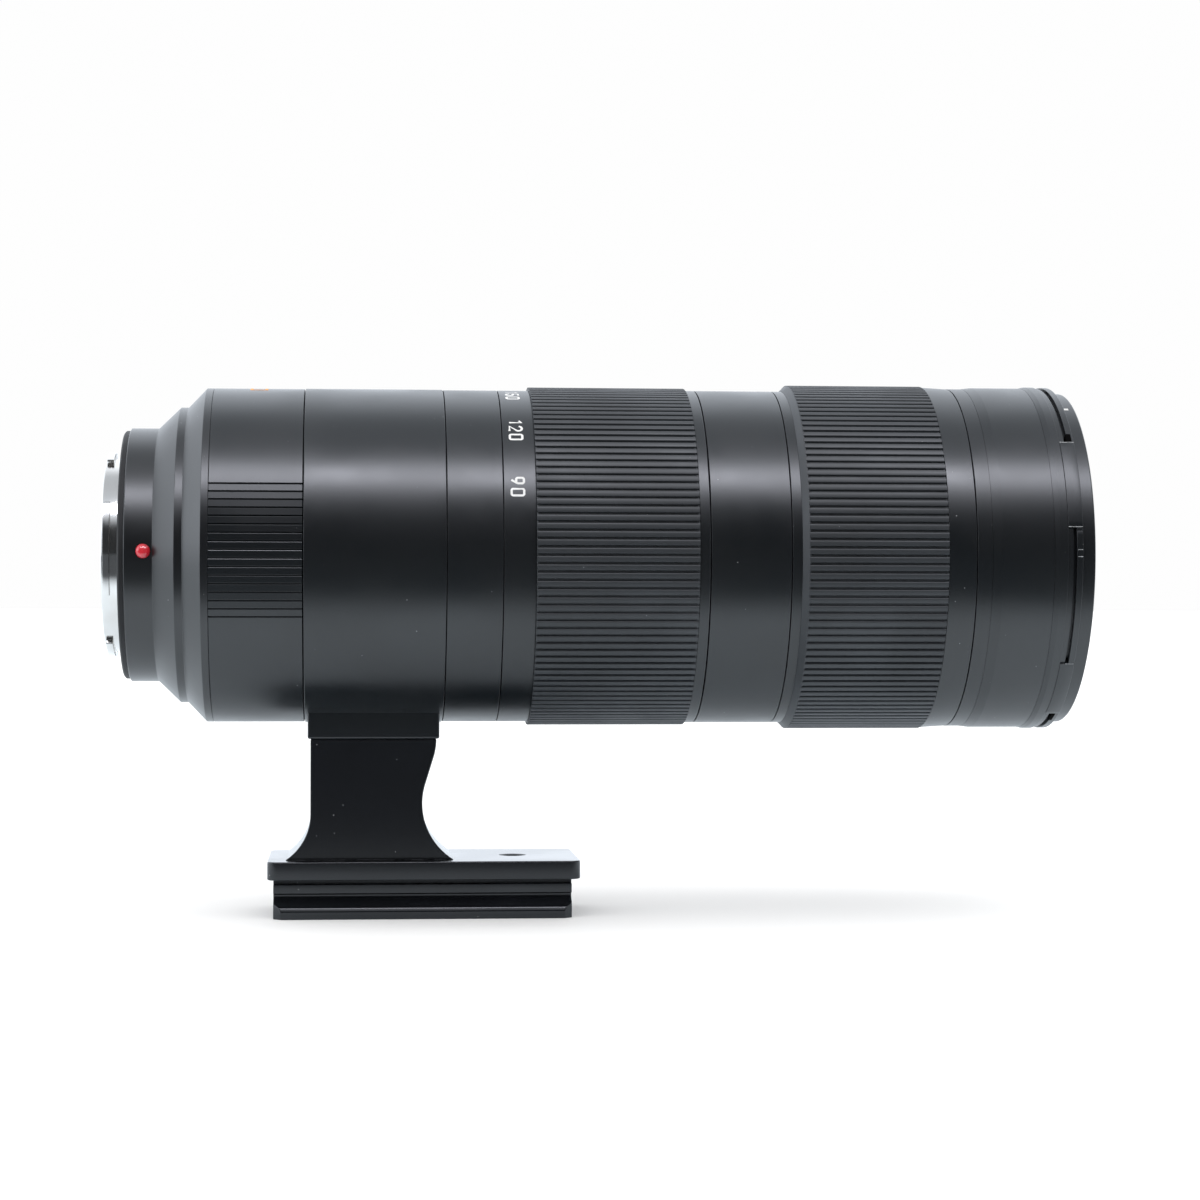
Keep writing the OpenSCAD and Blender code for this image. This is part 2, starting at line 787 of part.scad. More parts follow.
// Front section with the filter thread and the hood bayonet
module front_barrel() {
    line = 0.2;
    x_line = x_g + 3;
    color([0.13, 0.13, 0.14])
        difference() {
            turned([
                [tube_r, x_g], [front_r - edge, x_g], [front_r, x_g + edge], [front_r, x_line - line],
                [front_r - line, x_line], [front_r, x_line + line], [front_r, x_hood - line],
                [front_r - line, x_hood], [hood_r, x_hood + line], [hood_r, x_front - front_rim_len - edge],
                [hood_r - edge, x_front - front_rim_len], [rim_r, x_front - front_rim_len],
                [rim_r, x_front - edge], [rim_r - edge, x_front], [filter_r + 0.4, x_front],
                [filter_r, x_front - 0.4], [filter_r, x_thread], [front_cell_r, x_thread],
                [front_cell_r, x_lap], [tube_r, x_lap]
            ]);
            for (i = [0:3]) {
                a0 = pocket_first - i * pocket_pitch - pocket_angle / 2;
                tube_sector(x_pocket, x_pocket + channel_w, hood_r + 1, pocket_r, a0, a0 + pocket_angle);
                tube_sector(
                    x_pocket + channel_w - eps, x_front - front_rim_len + eps, hood_r + 1, rim_r + land_step,
                    a0, a0 + pocket_angle
                );
            }
        }
}

// Bevelled ring that holds the front glass
module front_retainer() {
    color([0.1, 0.1, 0.1])
        turned([
            [front_clear_r, x_retainer], [front_cell_r, x_retainer], [front_cell_r, x_thread],
            [front_cell_r - 0.8, x_thread], [front_clear_r, x_retainer + 0.7]
        ]);
}

// Cell of the front group
module front_cell() {
    color([0.1, 0.1, 0.1])
        turned([
            [guide_r, x_front_cell], [tube_in, x_front_cell], [tube_in, x_lap], [front_cell_r, x_lap],
            [front_cell_r, x_retainer], [front_glass_r, x_retainer],
            [front_glass_r, x_retainer - front_glass_t],
            [doublet_r + 0.5, x_retainer - front_glass_t], [doublet_r + 0.5, x_doublet + doublet_t],
            [doublet_r, x_doublet + doublet_t], [doublet_r, x_doublet], [doublet_r - 1.5, x_doublet],
            [doublet_r - 1.5, x_front_cell + cell_socket], [guide_r, x_front_cell + cell_socket]
        ]);
}

// Front glass
module front_glass_1() {
    color([0.75, 0.8, 0.9, 0.5])
        turned(glass_profile(front_glass_r, x_retainer - front_glass_t, x_retainer, 1.6, front_sag));
}

// Front half of the cemented pair
module front_glass_2() {
    color([0.75, 0.8, 0.9, 0.5])
        turned(glass_profile(doublet_r, x_doublet + 7.5, x_doublet + doublet_t, 4, 4.5));
}

// Rear half of the cemented pair
module front_glass_3() {
    color([0.75, 0.8, 0.9, 0.5])
        turned(glass_profile(doublet_r, x_doublet, x_doublet + 7.5, -0.6, -4));
}

// Guide tube with its bulkhead and the straight slots of the zoom followers
module guide_tube() {
    color("dimgray")
        difference() {
            union() {
                tube(x_bulk, x_iris, tube_in, bulk_hole);
                tube(x_bulk, x_front_cell + cell_socket, guide_r, guide_in);
            }
            for (i = [0:2]) {
                guide_slot(x_variator, variator_slope, variator_phase + 120 * i);
                guide_slot(x_compensator, compensator_slope, compensator_phase + 120 * i);
            }
            for (a = [rod_angle, rod_angle + 180])
                axial_bar(a, rod_pos, rod_r, x_bulk - 1, x_iris - 1);
        }
}

// Straight slot of the guide tube
module guide_slot(x_mid, slope, a) {
    half = follower_r + slide_gap;
    at_angle(a)
        translate([slot_from(x_mid, slope), -half, guide_in - 2])
            cube([slot_to(x_mid, slope) - slot_from(x_mid, slope), 2 * half, guide_wall + 4]);
}

// Iris housing with the pivot holes of the blades
module iris_housing() {
    color([0.1, 0.1, 0.1])
        difference() {
            turned([
                [iris_open_r, x_iris], [guide_in, x_iris], [guide_in, x_cover], [iris_in, x_cover],
                [iris_in, x_iris + iris_plate], [iris_open_r, x_iris + iris_plate]
            ]);
            for (i = [0:blade_count - 1])
                along_axis(x_iris + 0.5, x_iris + iris_plate + 1)
                    rotate(i * 360 / blade_count)
                        translate([pivot_pos, 0])
                            circle(r = blade_pin_r + iris_pin_gap);
        }
}

// Cover that closes the iris housing
module iris_cover() {
    color([0.12, 0.12, 0.12])
        tube(x_cover, x_cover + cover_t, guide_in, iris_open_r + 0.5);
}

// Coils that turn the iris drive ring
module iris_coils() {
    color("peru")
        for (i = [0:3])
            tube_sector(
                x_cover + cover_t, x_cover + cover_t + 3, iris_in - 1, blade_out, 90 * i - 15, 90 * i + 15
            );
}

// Two steel rods that guide the focus group
module focus_rods() {
    color("silver")
        for (a = [rod_angle, rod_angle + 180])
            axial_bar(a, rod_pos, rod_r, x_rear_flange + 1, x_iris - 1);
}

// Stepping motor that turns the lead screw
module focus_motor() {
    color("slategray")
        difference() {
            axial_bar(screw_angle, rod_pos, motor_r, x_motor, x_bulk);
            axial_bar(screw_angle, rod_pos, screw_r + pin_gap, x_motor - 1, x_motor + screw_depth + pin_gap);
        }
}

// Cell of the fixed rear group
module rear_cell() {
    x_seat = rear_seat_x + rear_glass_t;
    x_end = x_rear_flange + flange_plate;
    color([0.1, 0.1, 0.1])
        difference() {
            turned([
                [rear_glass_r, x_rear_cell], [rear_cell_r, x_rear_cell], [rear_cell_r, x_rear_flange],
                [tube_in, x_rear_flange], [tube_in, x_end], [rear_glass_r + 0.5, x_end],
                [rear_glass_r + 0.5, x_a], [rear_glass_r - 1.3, x_a], [rear_glass_r - 1.3, x_seat],
                [rear_glass_r, x_seat]
            ]);
            for (a = [rod_angle, rod_angle + 180])
                axial_bar(a, rod_pos, rod_r, x_rear_flange + 1, x_end + 1);
        }
}

// Rearmost glass
module rear_glass_1() {
    color([0.75, 0.8, 0.9, 0.5])
        turned(glass_profile(rear_glass_r, rear_seat_x, rear_seat_x + rear_glass_t, 1.4, 1.2));
}

// Inner glass of the rear group
module rear_glass_2() {
    color([0.75, 0.8, 0.9, 0.5])
        turned(glass_profile(rear_glass_r + 0.5, x_a, x_a + 4, -1, 2));
}

// Ring-shaped circuit board behind the rear flange
module circuit_board() {
    color("darkgreen")
        tube(x_band, x_band + board_t, board_r, board_in);
}

// Turning collar with the boss for the foot and the pad for the clamp
module tripod_collar() {
    color([0.13, 0.13, 0.14])
        difference() {
            union() {
                shell(x_b, x_c - seam_gap, collar_r, ring_in);
                translate([0, boss_w / 2, 0])
                    rotate([90, 0, 0])
                        linear_extrude(height = boss_w)
                            polygon([
                                [boss_x0, -0.8 * collar_r], [boss_x0, z_boss + boss_chamfer],
                                [boss_x0 + boss_chamfer, z_boss], [boss_x1 - boss_chamfer, z_boss],
                                [boss_x1, z_boss + boss_chamfer], [boss_x1, -0.8 * collar_r]
                            ]);
                radial_pin(x_clamp, clamp_angle, pad_r, ring_in, pad_top);
            }
            tube(x_b - 1, x_c + 1, ring_in, 0);
            radial_pin(x_clamp, clamp_angle, stud_r + pin_gap, ring_in - 2, pad_top + 1);
            radial_pin(x_clamp, clamp_angle, shoe_r + pin_gap, ring_in - 2, ring_in + shoe_t + pin_gap);
            for (x = foot_screw_x)
                translate([x, 0, z_boss - 1])
                    cylinder(h = boss_hole_depth + 1, r = foot_screw_r);
        }
}

// Side outline of the stem
function stem_outline() = concat(
    [[stem_x0, z_boss]],
    [for (i = [0:8]) let (t = flare_rear_a * i / 8) [
        stem_x0 - flare_rear_r * (1 - cos(t)), z_plate + flare_rear_r * (sin(flare_rear_a) - sin(t))
    ]],
    [for (i = [0:12]) let (t = flare_front_a - (flare_front_a + stem_lean) * i / 12) [
        stem_neck_x + flare_front_r * (1 - cos(t)), stem_neck_z - flare_front_r * sin(t)
    ]],
    [for (i = [0:5]) let (t = stem_lean * (1 - i / 5)) [
        stem_x1 - stem_top_r * (1 - cos(t)), z_boss - stem_top_r * sin(t)
    ]]
);

// Foot with its stem, plate and dovetail
module foot() {
    half = dovetail_w / 2;
    waist = half - flank;
    d0 = plate_x0 + dovetail_inset;
    d1 = plate_x1 - dovetail_inset;
    cut = 2.4;
    color([0.13, 0.13, 0.14])
        difference() {
            union() {
                translate([0, stem_w / 2, 0])
                    rotate([90, 0, 0])
                        linear_extrude(height = stem_w)
                            polygon(stem_outline());
                translate([0, 0, z_relief])
                    round_plate(plate_x0, plate_x1, plate_w, plate_t, plate_corner);
                intersection() {
                    translate([d0, 0, 0])
                        rotate([90, 0, 90])
                            linear_extrude(height = d1 - d0)
                                polygon([
                                    [-half, z_foot], [half, z_foot], [half, z_lip], [waist, z_flank],
                                    [waist, z_neck], [waist - 1, z_neck], [waist - 1, z_relief],
                                    [1 - waist, z_relief], [1 - waist, z_neck], [-waist, z_neck],
                                    [-waist, z_flank], [-half, z_lip]
                                ]);
                    translate([0, 0, z_foot - 1])
                        linear_extrude(height = z_relief - z_foot + 2)
                            polygon([
                                [d0, cut - half], [d0 + cut, -half], [d1 - cut, -half], [d1, cut - half],
                                [d1, half - cut], [d1 - cut, half], [d0 + cut, half], [d0, half - cut]
                            ]);
                }
            }
            for (x = foot_screw_x)
                translate([x, 0, 0]) {
                    translate([0, 0, z_foot - 1])
                        cylinder(h = z_boss - foot_seat - z_foot + 1, r = foot_bore_r);
                    translate([0, 0, z_foot])
                        cylinder(h = z_boss - z_foot + 1, r = foot_screw_r + pin_gap);
                }
            translate([x_socket, 0, 0]) {
                translate([0, 0, z_foot - 1])
                    cylinder(h = z_plate - z_foot + 2, r = socket_r);
                translate([0, 0, z_foot - eps])
                    cylinder(h = 0.6, r1 = socket_r + 0.6, r2 = socket_r);
                translate([0, 0, z_plate + eps - 0.6])
                    cylinder(h = 0.6, r1 = socket_r, r2 = socket_r + 0.6);
            }
        }
}

// Cap screws that hold the foot to the collar
module foot_screws() {
    z_seat = z_boss - foot_seat;
    color("dimgray")
        for (x = foot_screw_x)
            translate([x, 0, 0])
                difference() {
                    union() {
                        translate([0, 0, z_seat - foot_head_h])
                            cylinder(h = foot_head_h, r = foot_head_r);
                        translate([0, 0, z_seat])
                            cylinder(h = foot_seat + boss_hole_depth - 0.3, r = foot_screw_r - eps);
                    }
                    translate([0, 0, z_seat - foot_head_h - 1])
                        cylinder(h = 3.5, r = 0.52 * foot_head_r, $fn = 6);
                }
}

// Pad that the clamp presses on the main tube
module brake_shoe() {
    color("ivory")
        radial_pin(x_clamp, clamp_angle, shoe_r, ring_in, ring_in + shoe_t);
}

// Fluted clamp knob with its threaded stud
module clamp_knob() {
    step = 360 / knob_flutes;
    marks = [[0, 0.5], [0.25, 0], [0.5, 0], [0.75, 0.5]];
    outline = [
        for (i = [0:knob_flutes - 1], m = marks)
            let (a = (i + m[0]) * step)
            (knob_r - m[1]) * [cos(a), sin(a)]
    ];
    color([0.12, 0.12, 0.12])
        at_angle(clamp_angle)
            translate([x_clamp, 0, pad_top + seam_gap]) {
                linear_extrude(height = knob_h - 1)
                    polygon(outline);
                cylinder(h = knob_h, r = knob_r - 1.2);
                translate([0, 0, ring_in + shoe_t + pin_gap - pad_top - seam_gap])
                    cylinder(h = pad_top + seam_gap - ring_in - shoe_t, r = stud_r);
            }
}

// Zoom ring with the scale band and the seat of its grip
module zoom_ring() {
    x_grip = x_z + scale_len;
    seat = zoom_grip_r - grip_t;
    color([0.13, 0.13, 0.14])
        difference() {
            turned([
                [ring_in, x_z], [barrel_r - edge, x_z], [barrel_r, x_z + edge], [barrel_r, x_grip],
                [seat, x_grip], [seat, x_grip + zoom_grip_len], [mid_r, x_grip + zoom_grip_len],
                [mid_r, x_e - seam_gap - edge], [mid_r - edge, x_e - seam_gap], [ring_in, x_e - seam_gap]
            ]);
            radial_pin(x_key, key_angle, key_r, ring_in - 1, zoom_grip_r);
        }
}

// Ribbed rubber grip of the zoom ring
module zoom_grip() {
    color([0.08, 0.08, 0.08])
        ribbed_sleeve(x_z + scale_len, x_z + scale_len + zoom_grip_len, zoom_grip_r, zoom_ribs);
}

// Key that turns the cam tube with the zoom ring
module zoom_key() {
    color("silver")
        radial_pin(x_key, key_angle, key_r, cam_in, zoom_grip_r - grip_t - pin_gap);
}

// Cam tube with the slanted slots of both zoom groups
module cam_tube() {
    color("darkgray")
        difference() {
            tube(x_cam, x_cam_end, cam_r, cam_in);
            radial_pin(x_key, key_angle, key_r, cam_in - 1, cam_r + 1);
            for (i = [0:2]) {
                cam_slot(
                    x_variator, variator_slope, variator_phase + 120 * i,
                    slot_from(x_variator, variator_slope), slot_to(x_variator, variator_slope)
                );
                cam_slot(
                    x_compensator, compensator_slope, compensator_phase + 120 * i,
                    slot_from(x_compensator, compensator_slope), slot_to(x_compensator, compensator_slope)
                );
            }
        }
}

// Cell of the variator
module variator_cell() {
    color([0.1, 0.1, 0.1])
        zoom_cell(x_variator, variator_r, variator_phase);
}

// Front glass of the variator
module variator_glass_1() {
    color([0.75, 0.8, 0.9, 0.5])
        turned(glass_profile(
            variator_r, x_variator + cell_lip, x_variator + cell_lip + variator_edge, -1.4, -1.2
        ));
}

// Rear glass of the variator
module variator_glass_2() {
    color([0.75, 0.8, 0.9, 0.5])
        turned(glass_profile(
            variator_r, x_variator - cell_lip - variator_edge, x_variator - cell_lip, -1.6, 0.6
        ));
}

// Follower pins of the variator
module variator_followers() {
    color("gainsboro")
        followers(x_variator, variator_phase);
}

// Cell of the compensator
module compensator_cell() {
    color([0.1, 0.1, 0.1])
        zoom_cell(x_compensator, compensator_r, compensator_phase);
}

// Glass of the compensator
module compensator_glass() {
    color([0.75, 0.8, 0.9, 0.5])
        turned(glass_profile(
            compensator_r, x_compensator + cell_lip, x_compensator + cell_lip + compensator_edge, 0.8, 2
        ));
}

// Follower pins of the compensator
module compensator_followers() {
    color("gainsboro")
        followers(x_compensator, compensator_phase);
}

// Focus ring with the seat of its grip
module focus_ring() {
    x_grip = x_f + focus_edge_len;
    seat = focus_grip_r - grip_t;
    color([0.13, 0.13, 0.14])
        turned([
            [ring_in, x_f], [mid_r - edge, x_f], [mid_r, x_f + edge], [focus_band_r, x_grip], [seat, x_grip],
            [seat, x_grip + focus_grip_len], [focus_band_r, x_grip + focus_grip_len],
            [focus_band_r, x_g - seam_gap - edge], [focus_band_r - edge, x_g - seam_gap],
            [ring_in, x_g - seam_gap]
        ]);
}

// Ribbed rubber grip of the focus ring
module focus_grip() {
    color([0.08, 0.08, 0.08])
        ribbed_sleeve(
            x_f + focus_edge_len, x_f + focus_edge_len + focus_grip_len, focus_grip_r, focus_ribs
        );
}

// Cell of the focus group with its rod sleeve, rod fork and nut
module focus_cell() {
    x0 = x_focus - focus_cell_len / 2;
    x1 = x_focus + focus_cell_len / 2;
    lug_out = rod_r + pin_gap + lug_wall;
    color([0.1, 0.1, 0.1])
        difference() {
            union() {
                turned([
                    [focus_glass_r, x0], [focus_glass_r + 3, x0], [focus_glass_r + 3, x1],
                    [focus_glass_r, x1],
                    [focus_glass_r, x_focus + 1.5], [focus_glass_r - 1, x_focus + 1.5],
                    [focus_glass_r - 1, x_focus - 0.5], [focus_glass_r, x_focus - 0.5]
                ]);
                for (a = [rod_angle, rod_angle + 180, screw_angle]) {
                    axial_bar(a, rod_pos, lug_out, x0, x1);
                    at_angle(a)
                        translate([x0, -lug_out, focus_glass_r + 1])
                            cube([focus_cell_len, 2 * lug_out, rod_pos - focus_glass_r - 1]);
                }
            }
            axial_bar(rod_angle, rod_pos, rod_r + pin_gap, x0 - 1, x1 + 1);
            at_angle(rod_angle + 180)
                translate([x0 - 1, -rod_r - pin_gap, rod_pos - rod_r - 1])
                    cube([focus_cell_len + 2, 2 * (rod_r + pin_gap), 10]);
            axial_bar(screw_angle, rod_pos, screw_r + pin_gap, x0 - 1, x1 + 1);
        }
}

// Glass of the focus group
module focus_glass() {
    color([0.75, 0.8, 0.9, 0.5])
        turned(glass_profile(focus_glass_r, x_focus - 3.5, x_focus - 0.5, 1.2, -0.8));
}

// Lead screw of the focus group
module lead_screw() {
    color("silver")
        axial_bar(screw_angle, rod_pos, screw_r, x_screw, x_motor + screw_depth);
}

// Ring that swings the iris blades
module iris_drive_ring() {
    half = blade_pin_r + iris_pin_gap;
    marks = [for (i = [0:16]) -0.14 + 1.28 * i / 16];
    color("dimgray")
        difference() {
            tube(x_drive, x_drive + drive_t, iris_in - run_gap, blade_out - 1);
            for (i = [0:blade_count - 1])
                along_axis(x_drive - 1, x_drive + drive_t + 1)
                    rotate(i * 360 / blade_count)
                        polygon(concat(
                            [for (t = marks) slot_mid(t) + half * slot_side(t)],
                            [for (t = marks) slot_mid(0.9999 - t) - half * slot_side(0.9999 - t)]
                        ));
        }
}

// One iris blade with its pivot pin and its drive pin
module iris_blade(i) {
    x0 = x_blades + i * blade_step;
    color([0.06, 0.06, 0.06])
        rotate([i * 360 / blade_count, 0, 0]) {
            along_axis(x0, x0 + blade_t)
                polygon(concat(
                    arc([0, 0], blade_out, 16, blade_span - 8, 14),
                    arc([0, 0], blade_in, blade_span, -4, 16),
                    arc([0, 0], pivot_pos + blade_tab, -4, 16, 6)
                ));
            along_axis(x_iris + 0.6, x0 + blade_t / 2)
                translate([pivot_pos, 0])
                    circle(r = blade_pin_r);
            along_axis(x0 + blade_t / 2, x_drive + drive_t)
                rotate(drive_offset)
                    translate([pivot_pos, 0])
                        circle(r = blade_pin_r);
        }
}

mount_flange();
mount_screws();
flange_seal();
contact_block();
contact_pins();
rear_baffle();
mount_cone();
index_bead();
rear_barrel();
main_tube();
index_barrel();
mid_barrel();
front_barrel();
front_retainer();
front_cell();
front_glass_1();
front_glass_2();
front_glass_3();
guide_tube();
iris_housing();
iris_cover();
iris_coils();
focus_rods();
focus_motor();
rear_cell();
rear_glass_1();
rear_glass_2();
circuit_board();
tripod_collar();
foot();
foot_screws();
brake_shoe();
clamp_knob();
zoom_ring();
zoom_grip();
zoom_key();
cam_tube();
variator_cell();
variator_glass_1();
variator_glass_2();
variator_followers();
compensator_cell();
compensator_glass();
compensator_followers();
focus_ring();
focus_grip();
focus_cell();
focus_glass();
lead_screw();
iris_drive_ring();
for (i = [1:blade_count])
    iris_blade(i - 1);
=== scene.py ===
"""Camera zoom lens on its collar foot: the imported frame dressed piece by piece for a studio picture."""

import logging
import math
from collections.abc import Sequence
from dataclasses import dataclass
from enum import Enum
from functools import cache

import bmesh
import bpy
from mathutils import Matrix, Quaternion, Vector


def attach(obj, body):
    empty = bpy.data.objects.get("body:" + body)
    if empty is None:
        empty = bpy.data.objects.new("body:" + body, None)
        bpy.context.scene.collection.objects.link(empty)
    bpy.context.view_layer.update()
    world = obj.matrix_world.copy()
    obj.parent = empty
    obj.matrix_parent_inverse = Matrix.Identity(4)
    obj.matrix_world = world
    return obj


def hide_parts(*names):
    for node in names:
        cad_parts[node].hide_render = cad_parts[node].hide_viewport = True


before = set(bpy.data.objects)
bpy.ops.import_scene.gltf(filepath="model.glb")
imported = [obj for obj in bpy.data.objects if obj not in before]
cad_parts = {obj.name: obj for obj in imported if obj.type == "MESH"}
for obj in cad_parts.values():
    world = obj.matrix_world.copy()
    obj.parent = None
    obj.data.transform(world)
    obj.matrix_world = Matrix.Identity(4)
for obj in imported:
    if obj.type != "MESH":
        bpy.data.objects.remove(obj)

LOG = logging.getLogger("lens")
MM = 0.001
STEPS = 192
AXIS = (1.0, 0.0, 0.0)
EDGE = 0.13

Piece = bpy.types.Object
Look = bpy.types.Material
Socket = bpy.types.NodeSocket
Spot = tuple[float, float]
Corner = tuple[float, float, float]
RGB = tuple[float, float, float]


class Body(Enum):
    """Moving bodies of the lens that carry new pieces."""

    BARREL = "barrel"
    COLLAR = "collar"
    CLAMP = "clamp"
    ZOOM = "zoom"
    FOCUS = "focus"


class Slot(Enum):
    """Material slots of the record, passed with new pieces but not read."""

    BLACK_METAL = "black_metal"
    INNER_METAL = "inner_metal"
    CHROME = "chrome_mount"
    STEEL = "steel"
    RUBBER = "rubber_grip"
    GLASS = "glass"
    GILT = "gilt"
    PLASTIC = "black_plastic"
    RED = "red_bead"


class Merge(Enum):
    """Ways to combine a piece with a tool."""

    CUT = "DIFFERENCE"
    UNITE = "UNION"


def at(x: float, r: float, phi: float) -> Vector:
    """Point at a station, a radius and an angle from the near side upwards, in metres."""
    turn = math.radians(phi)
    return Vector((x, -r * math.cos(turn), r * math.sin(turn))) * MM


def aim(x: float, angle: float, axis: str) -> Matrix:
    """Place at a station in millimetres, turned by an angle in degrees about a named axis."""
    return Matrix.Translation((x * MM, 0, 0)) @ Matrix.Rotation(math.radians(angle), 4, axis)


def arc(x: float, y: float, radius: float, first: float, last: float, parts: int) -> list[Spot]:
    """Points of an arc, with its angles in radians.

    Args:
        x: First coordinate of its middle.
        y: Second coordinate of its middle.
        radius: Its radius.
        first: First angle.
        last: Last angle.
        parts: Edges in the arc.

    Returns:
        Points in order, both ends included.
    """
    turns = [first + (last - first) * i / parts for i in range(parts + 1)]
    return [(x + radius * math.cos(a), y + radius * math.sin(a)) for a in turns]


def rounded(corners: Sequence[Corner], parts: int = 3, keep: float = 0.1) -> list[Spot]:
    """Closed outline with an arc at each corner that asks for one.

    Args:
        corners: Points with a corner radius each, in millimetres.
        parts: Edges in each arc.
        keep: Short edge beside each arc that keeps the flats flat when shaded smooth.

    Returns:
        Points of the outline in order.
    """
    share = 0.45
    spots: list[Spot] = []
    for i, (x, y, radius) in enumerate(corners):
        here = Vector((x, y))
        back = Vector(corners[i - 1][:2]) - here
        on = Vector(corners[(i + 1) % len(corners)][:2]) - here
        if radius <= 0.0:
            spots.append((x, y))
            continue
        half = back.angle(on) / 2.0
        run = min(radius / math.tan(half), share * min(back.length, on.length))
        radius = run * math.tan(half)
        u, v = back.normalized(), on.normalized()
        middle = here + (u + v).normalized() * (radius / math.sin(half))
        first, last = here + u * run - middle, here + v * run - middle
        start = math.atan2(first.y, first.x)
        turn = (math.atan2(last.y, last.x) - start + math.pi) % math.tau - math.pi
        if run + keep < share * back.length:
            spots.append(tuple(here + u * (run + keep)))
        spots += arc(middle.x, middle.y, radius, start, start + turn, parts)
        if run + keep < share * on.length:
            spots.append(tuple(here + v * (run + keep)))
    return spots


class Bench:
    """Modelling steps that the sub-assemblies share, done with Blender's own operators."""

    @staticmethod
    def clear() -> None:
        """Leave edit mode and deselect everything."""
        if bpy.context.mode != "OBJECT":
            bpy.ops.object.mode_set(mode="OBJECT")
        bpy.ops.object.select_all(action="DESELECT")

    @staticmethod
    def pick(*pieces: Piece) -> None:
        """Select some pieces alone.

        Args:
            pieces: Pieces to select, the active one first.
        """
        Bench.clear()
        for piece in pieces:
            piece.select_set(True)
        bpy.context.view_layer.objects.active = pieces[0]

    @staticmethod
    def edit(piece: Piece) -> None:
        """Open a piece in edit mode with all of it selected.

        Args:
            piece: The piece.
        """
        Bench.pick(piece)
        bpy.ops.object.mode_set(mode="EDIT")
        bpy.ops.mesh.select_all(action="SELECT")

    @staticmethod
    def close() -> None:
        """Merge doubles, turn the faces outwards and leave edit mode."""
        bpy.ops.mesh.select_all(action="SELECT")
        bpy.ops.mesh.remove_doubles(threshold=2e-7)
        bpy.ops.mesh.normals_make_consistent(inside=False)
        bpy.ops.object.mode_set(mode="OBJECT")

    @staticmethod
    def chain(name: str, points: Sequence[Vector], closed: bool = True) -> Piece:
        """Draw a chain of edges by extruding one vertex from point to point.

        Args:
            name: Name of the new piece.
            points: Places in metres.
            closed: Whether the last point joins the first.

        Returns:
            The piece, left in edit mode.
        """
        Bench.clear()
        bpy.ops.mesh.primitive_plane_add(size=MM)
        piece = bpy.context.object
        piece.name = piece.data.name = name
        bpy.ops.object.mode_set(mode="EDIT")
        bpy.ops.mesh.merge(type="CENTER")
        bpy.ops.transform.translate(value=points[0])
        for here, there in zip(points, points[1:]):
            bpy.ops.mesh.extrude_region_move(TRANSFORM_OT_translate={"value": there - here})
        if closed:
            bpy.ops.mesh.select_all(action="DESELECT")
            shape = bmesh.from_edit_mesh(piece.data)
            for vert in shape.verts:
                vert.select = len(vert.link_edges) == 1
            shape.select_flush_mode()
            bmesh.update_edit_mesh(piece.data)
            bpy.ops.mesh.edge_face_add()
        bpy.ops.mesh.select_all(action="SELECT")
        return piece

    @staticmethod
    def lathe(name: str, outline: Sequence[Spot], closed: bool = True, steps: int = STEPS) -> Piece:
        """Turn an outline of stations and radii about the optical axis.

        Args:
            name: Name of the new piece.
            outline: Stations and radii in millimetres.
            closed: False for an outline that starts and ends on the axis.
            steps: Faces round the turn.

        Returns:
            The closed turned piece.
        """
        piece = Bench.chain(name, [at(x, r, 90.0) for x, r in outline], closed)
        bpy.ops.mesh.spin(steps=steps, angle=math.tau, center=(0, 0, 0), axis=AXIS)
        Bench.close()
        return piece

    @staticmethod
    def rod(name: str, outline: Sequence[Spot], steps: int) -> Piece:
        """Turn a solid piece with flat ends.

        Args:
            name: Name of the new piece.
            outline: Stations and radii in millimetres, without the points on the axis.
            steps: Faces round the turn.

        Returns:
            The closed turned piece.
        """
        spots = [(outline[0][0], 0.0), *outline, (outline[-1][0], 0.0)]
        return Bench.lathe(name, spots, False, steps)

    @staticmethod
    def turned(name: str, corners: Sequence[Corner]) -> Piece:
        """Turn a ring with rounded corners and shade it.

        Args:
            name: Name of the new piece.
            corners: Stations, radii and corner radii in millimetres.

        Returns:
            The ring.
        """
        ring = Bench.lathe(name, rounded(corners))
        Bench.smooth(ring)
        return ring

    @staticmethod
    def ring(name: str, along: Spot, bore: float, radius: float, edge: float = EDGE) -> Piece:
        """Turn a plain ring.

        Args:
            name: Name of the new piece.
            along: Stations of its rear and front end in millimetres.
            bore: Inner radius.
            radius: Outer radius.
            edge: Rounding of the outer edges.

        Returns:
            The ring.
        """
        start, end = along
        corners = [(start, bore, 0.0), (start, radius, edge), (end, radius, edge), (end, bore, 0.0)]
        return Bench.turned(name, corners)

    @staticmethod
    def sector(name: str, outline: Sequence[Spot], start: float, end: float) -> Piece:
        """Turn a closed outline through part of a circle and keep both ends closed.

        Args:
            name: Name of the new piece.
            outline: Stations and radii in millimetres.
            start: First angle from the near side upwards, in degrees.
            end: Last angle.

        Returns:
            The closed sector.
        """
        piece = Bench.chain(name, [at(x, r, start) for x, r in outline])
        bpy.ops.mesh.edge_face_add()
        steps = max(4, round((end - start) * STEPS / 360.0))
        bpy.ops.mesh.spin(steps=steps, angle=math.radians(end - start), center=(0, 0, 0), axis=AXIS)
        Bench.close()
        return piece

    @staticmethod
    def prism(name: str, outline: Sequence[Vector], along: Vector) -> Piece:
        """Fill a closed outline and extrude it.

        Args:
            name: Name of the new piece.
            outline: Points in metres.
            along: Extrusion in metres.

        Returns:
            The closed prism.
        """
        piece = Bench.chain(name, outline)
        bpy.ops.mesh.edge_face_add()
        bpy.ops.mesh.extrude_region_move(TRANSFORM_OT_translate={"value": along})
        Bench.close()
        return piece

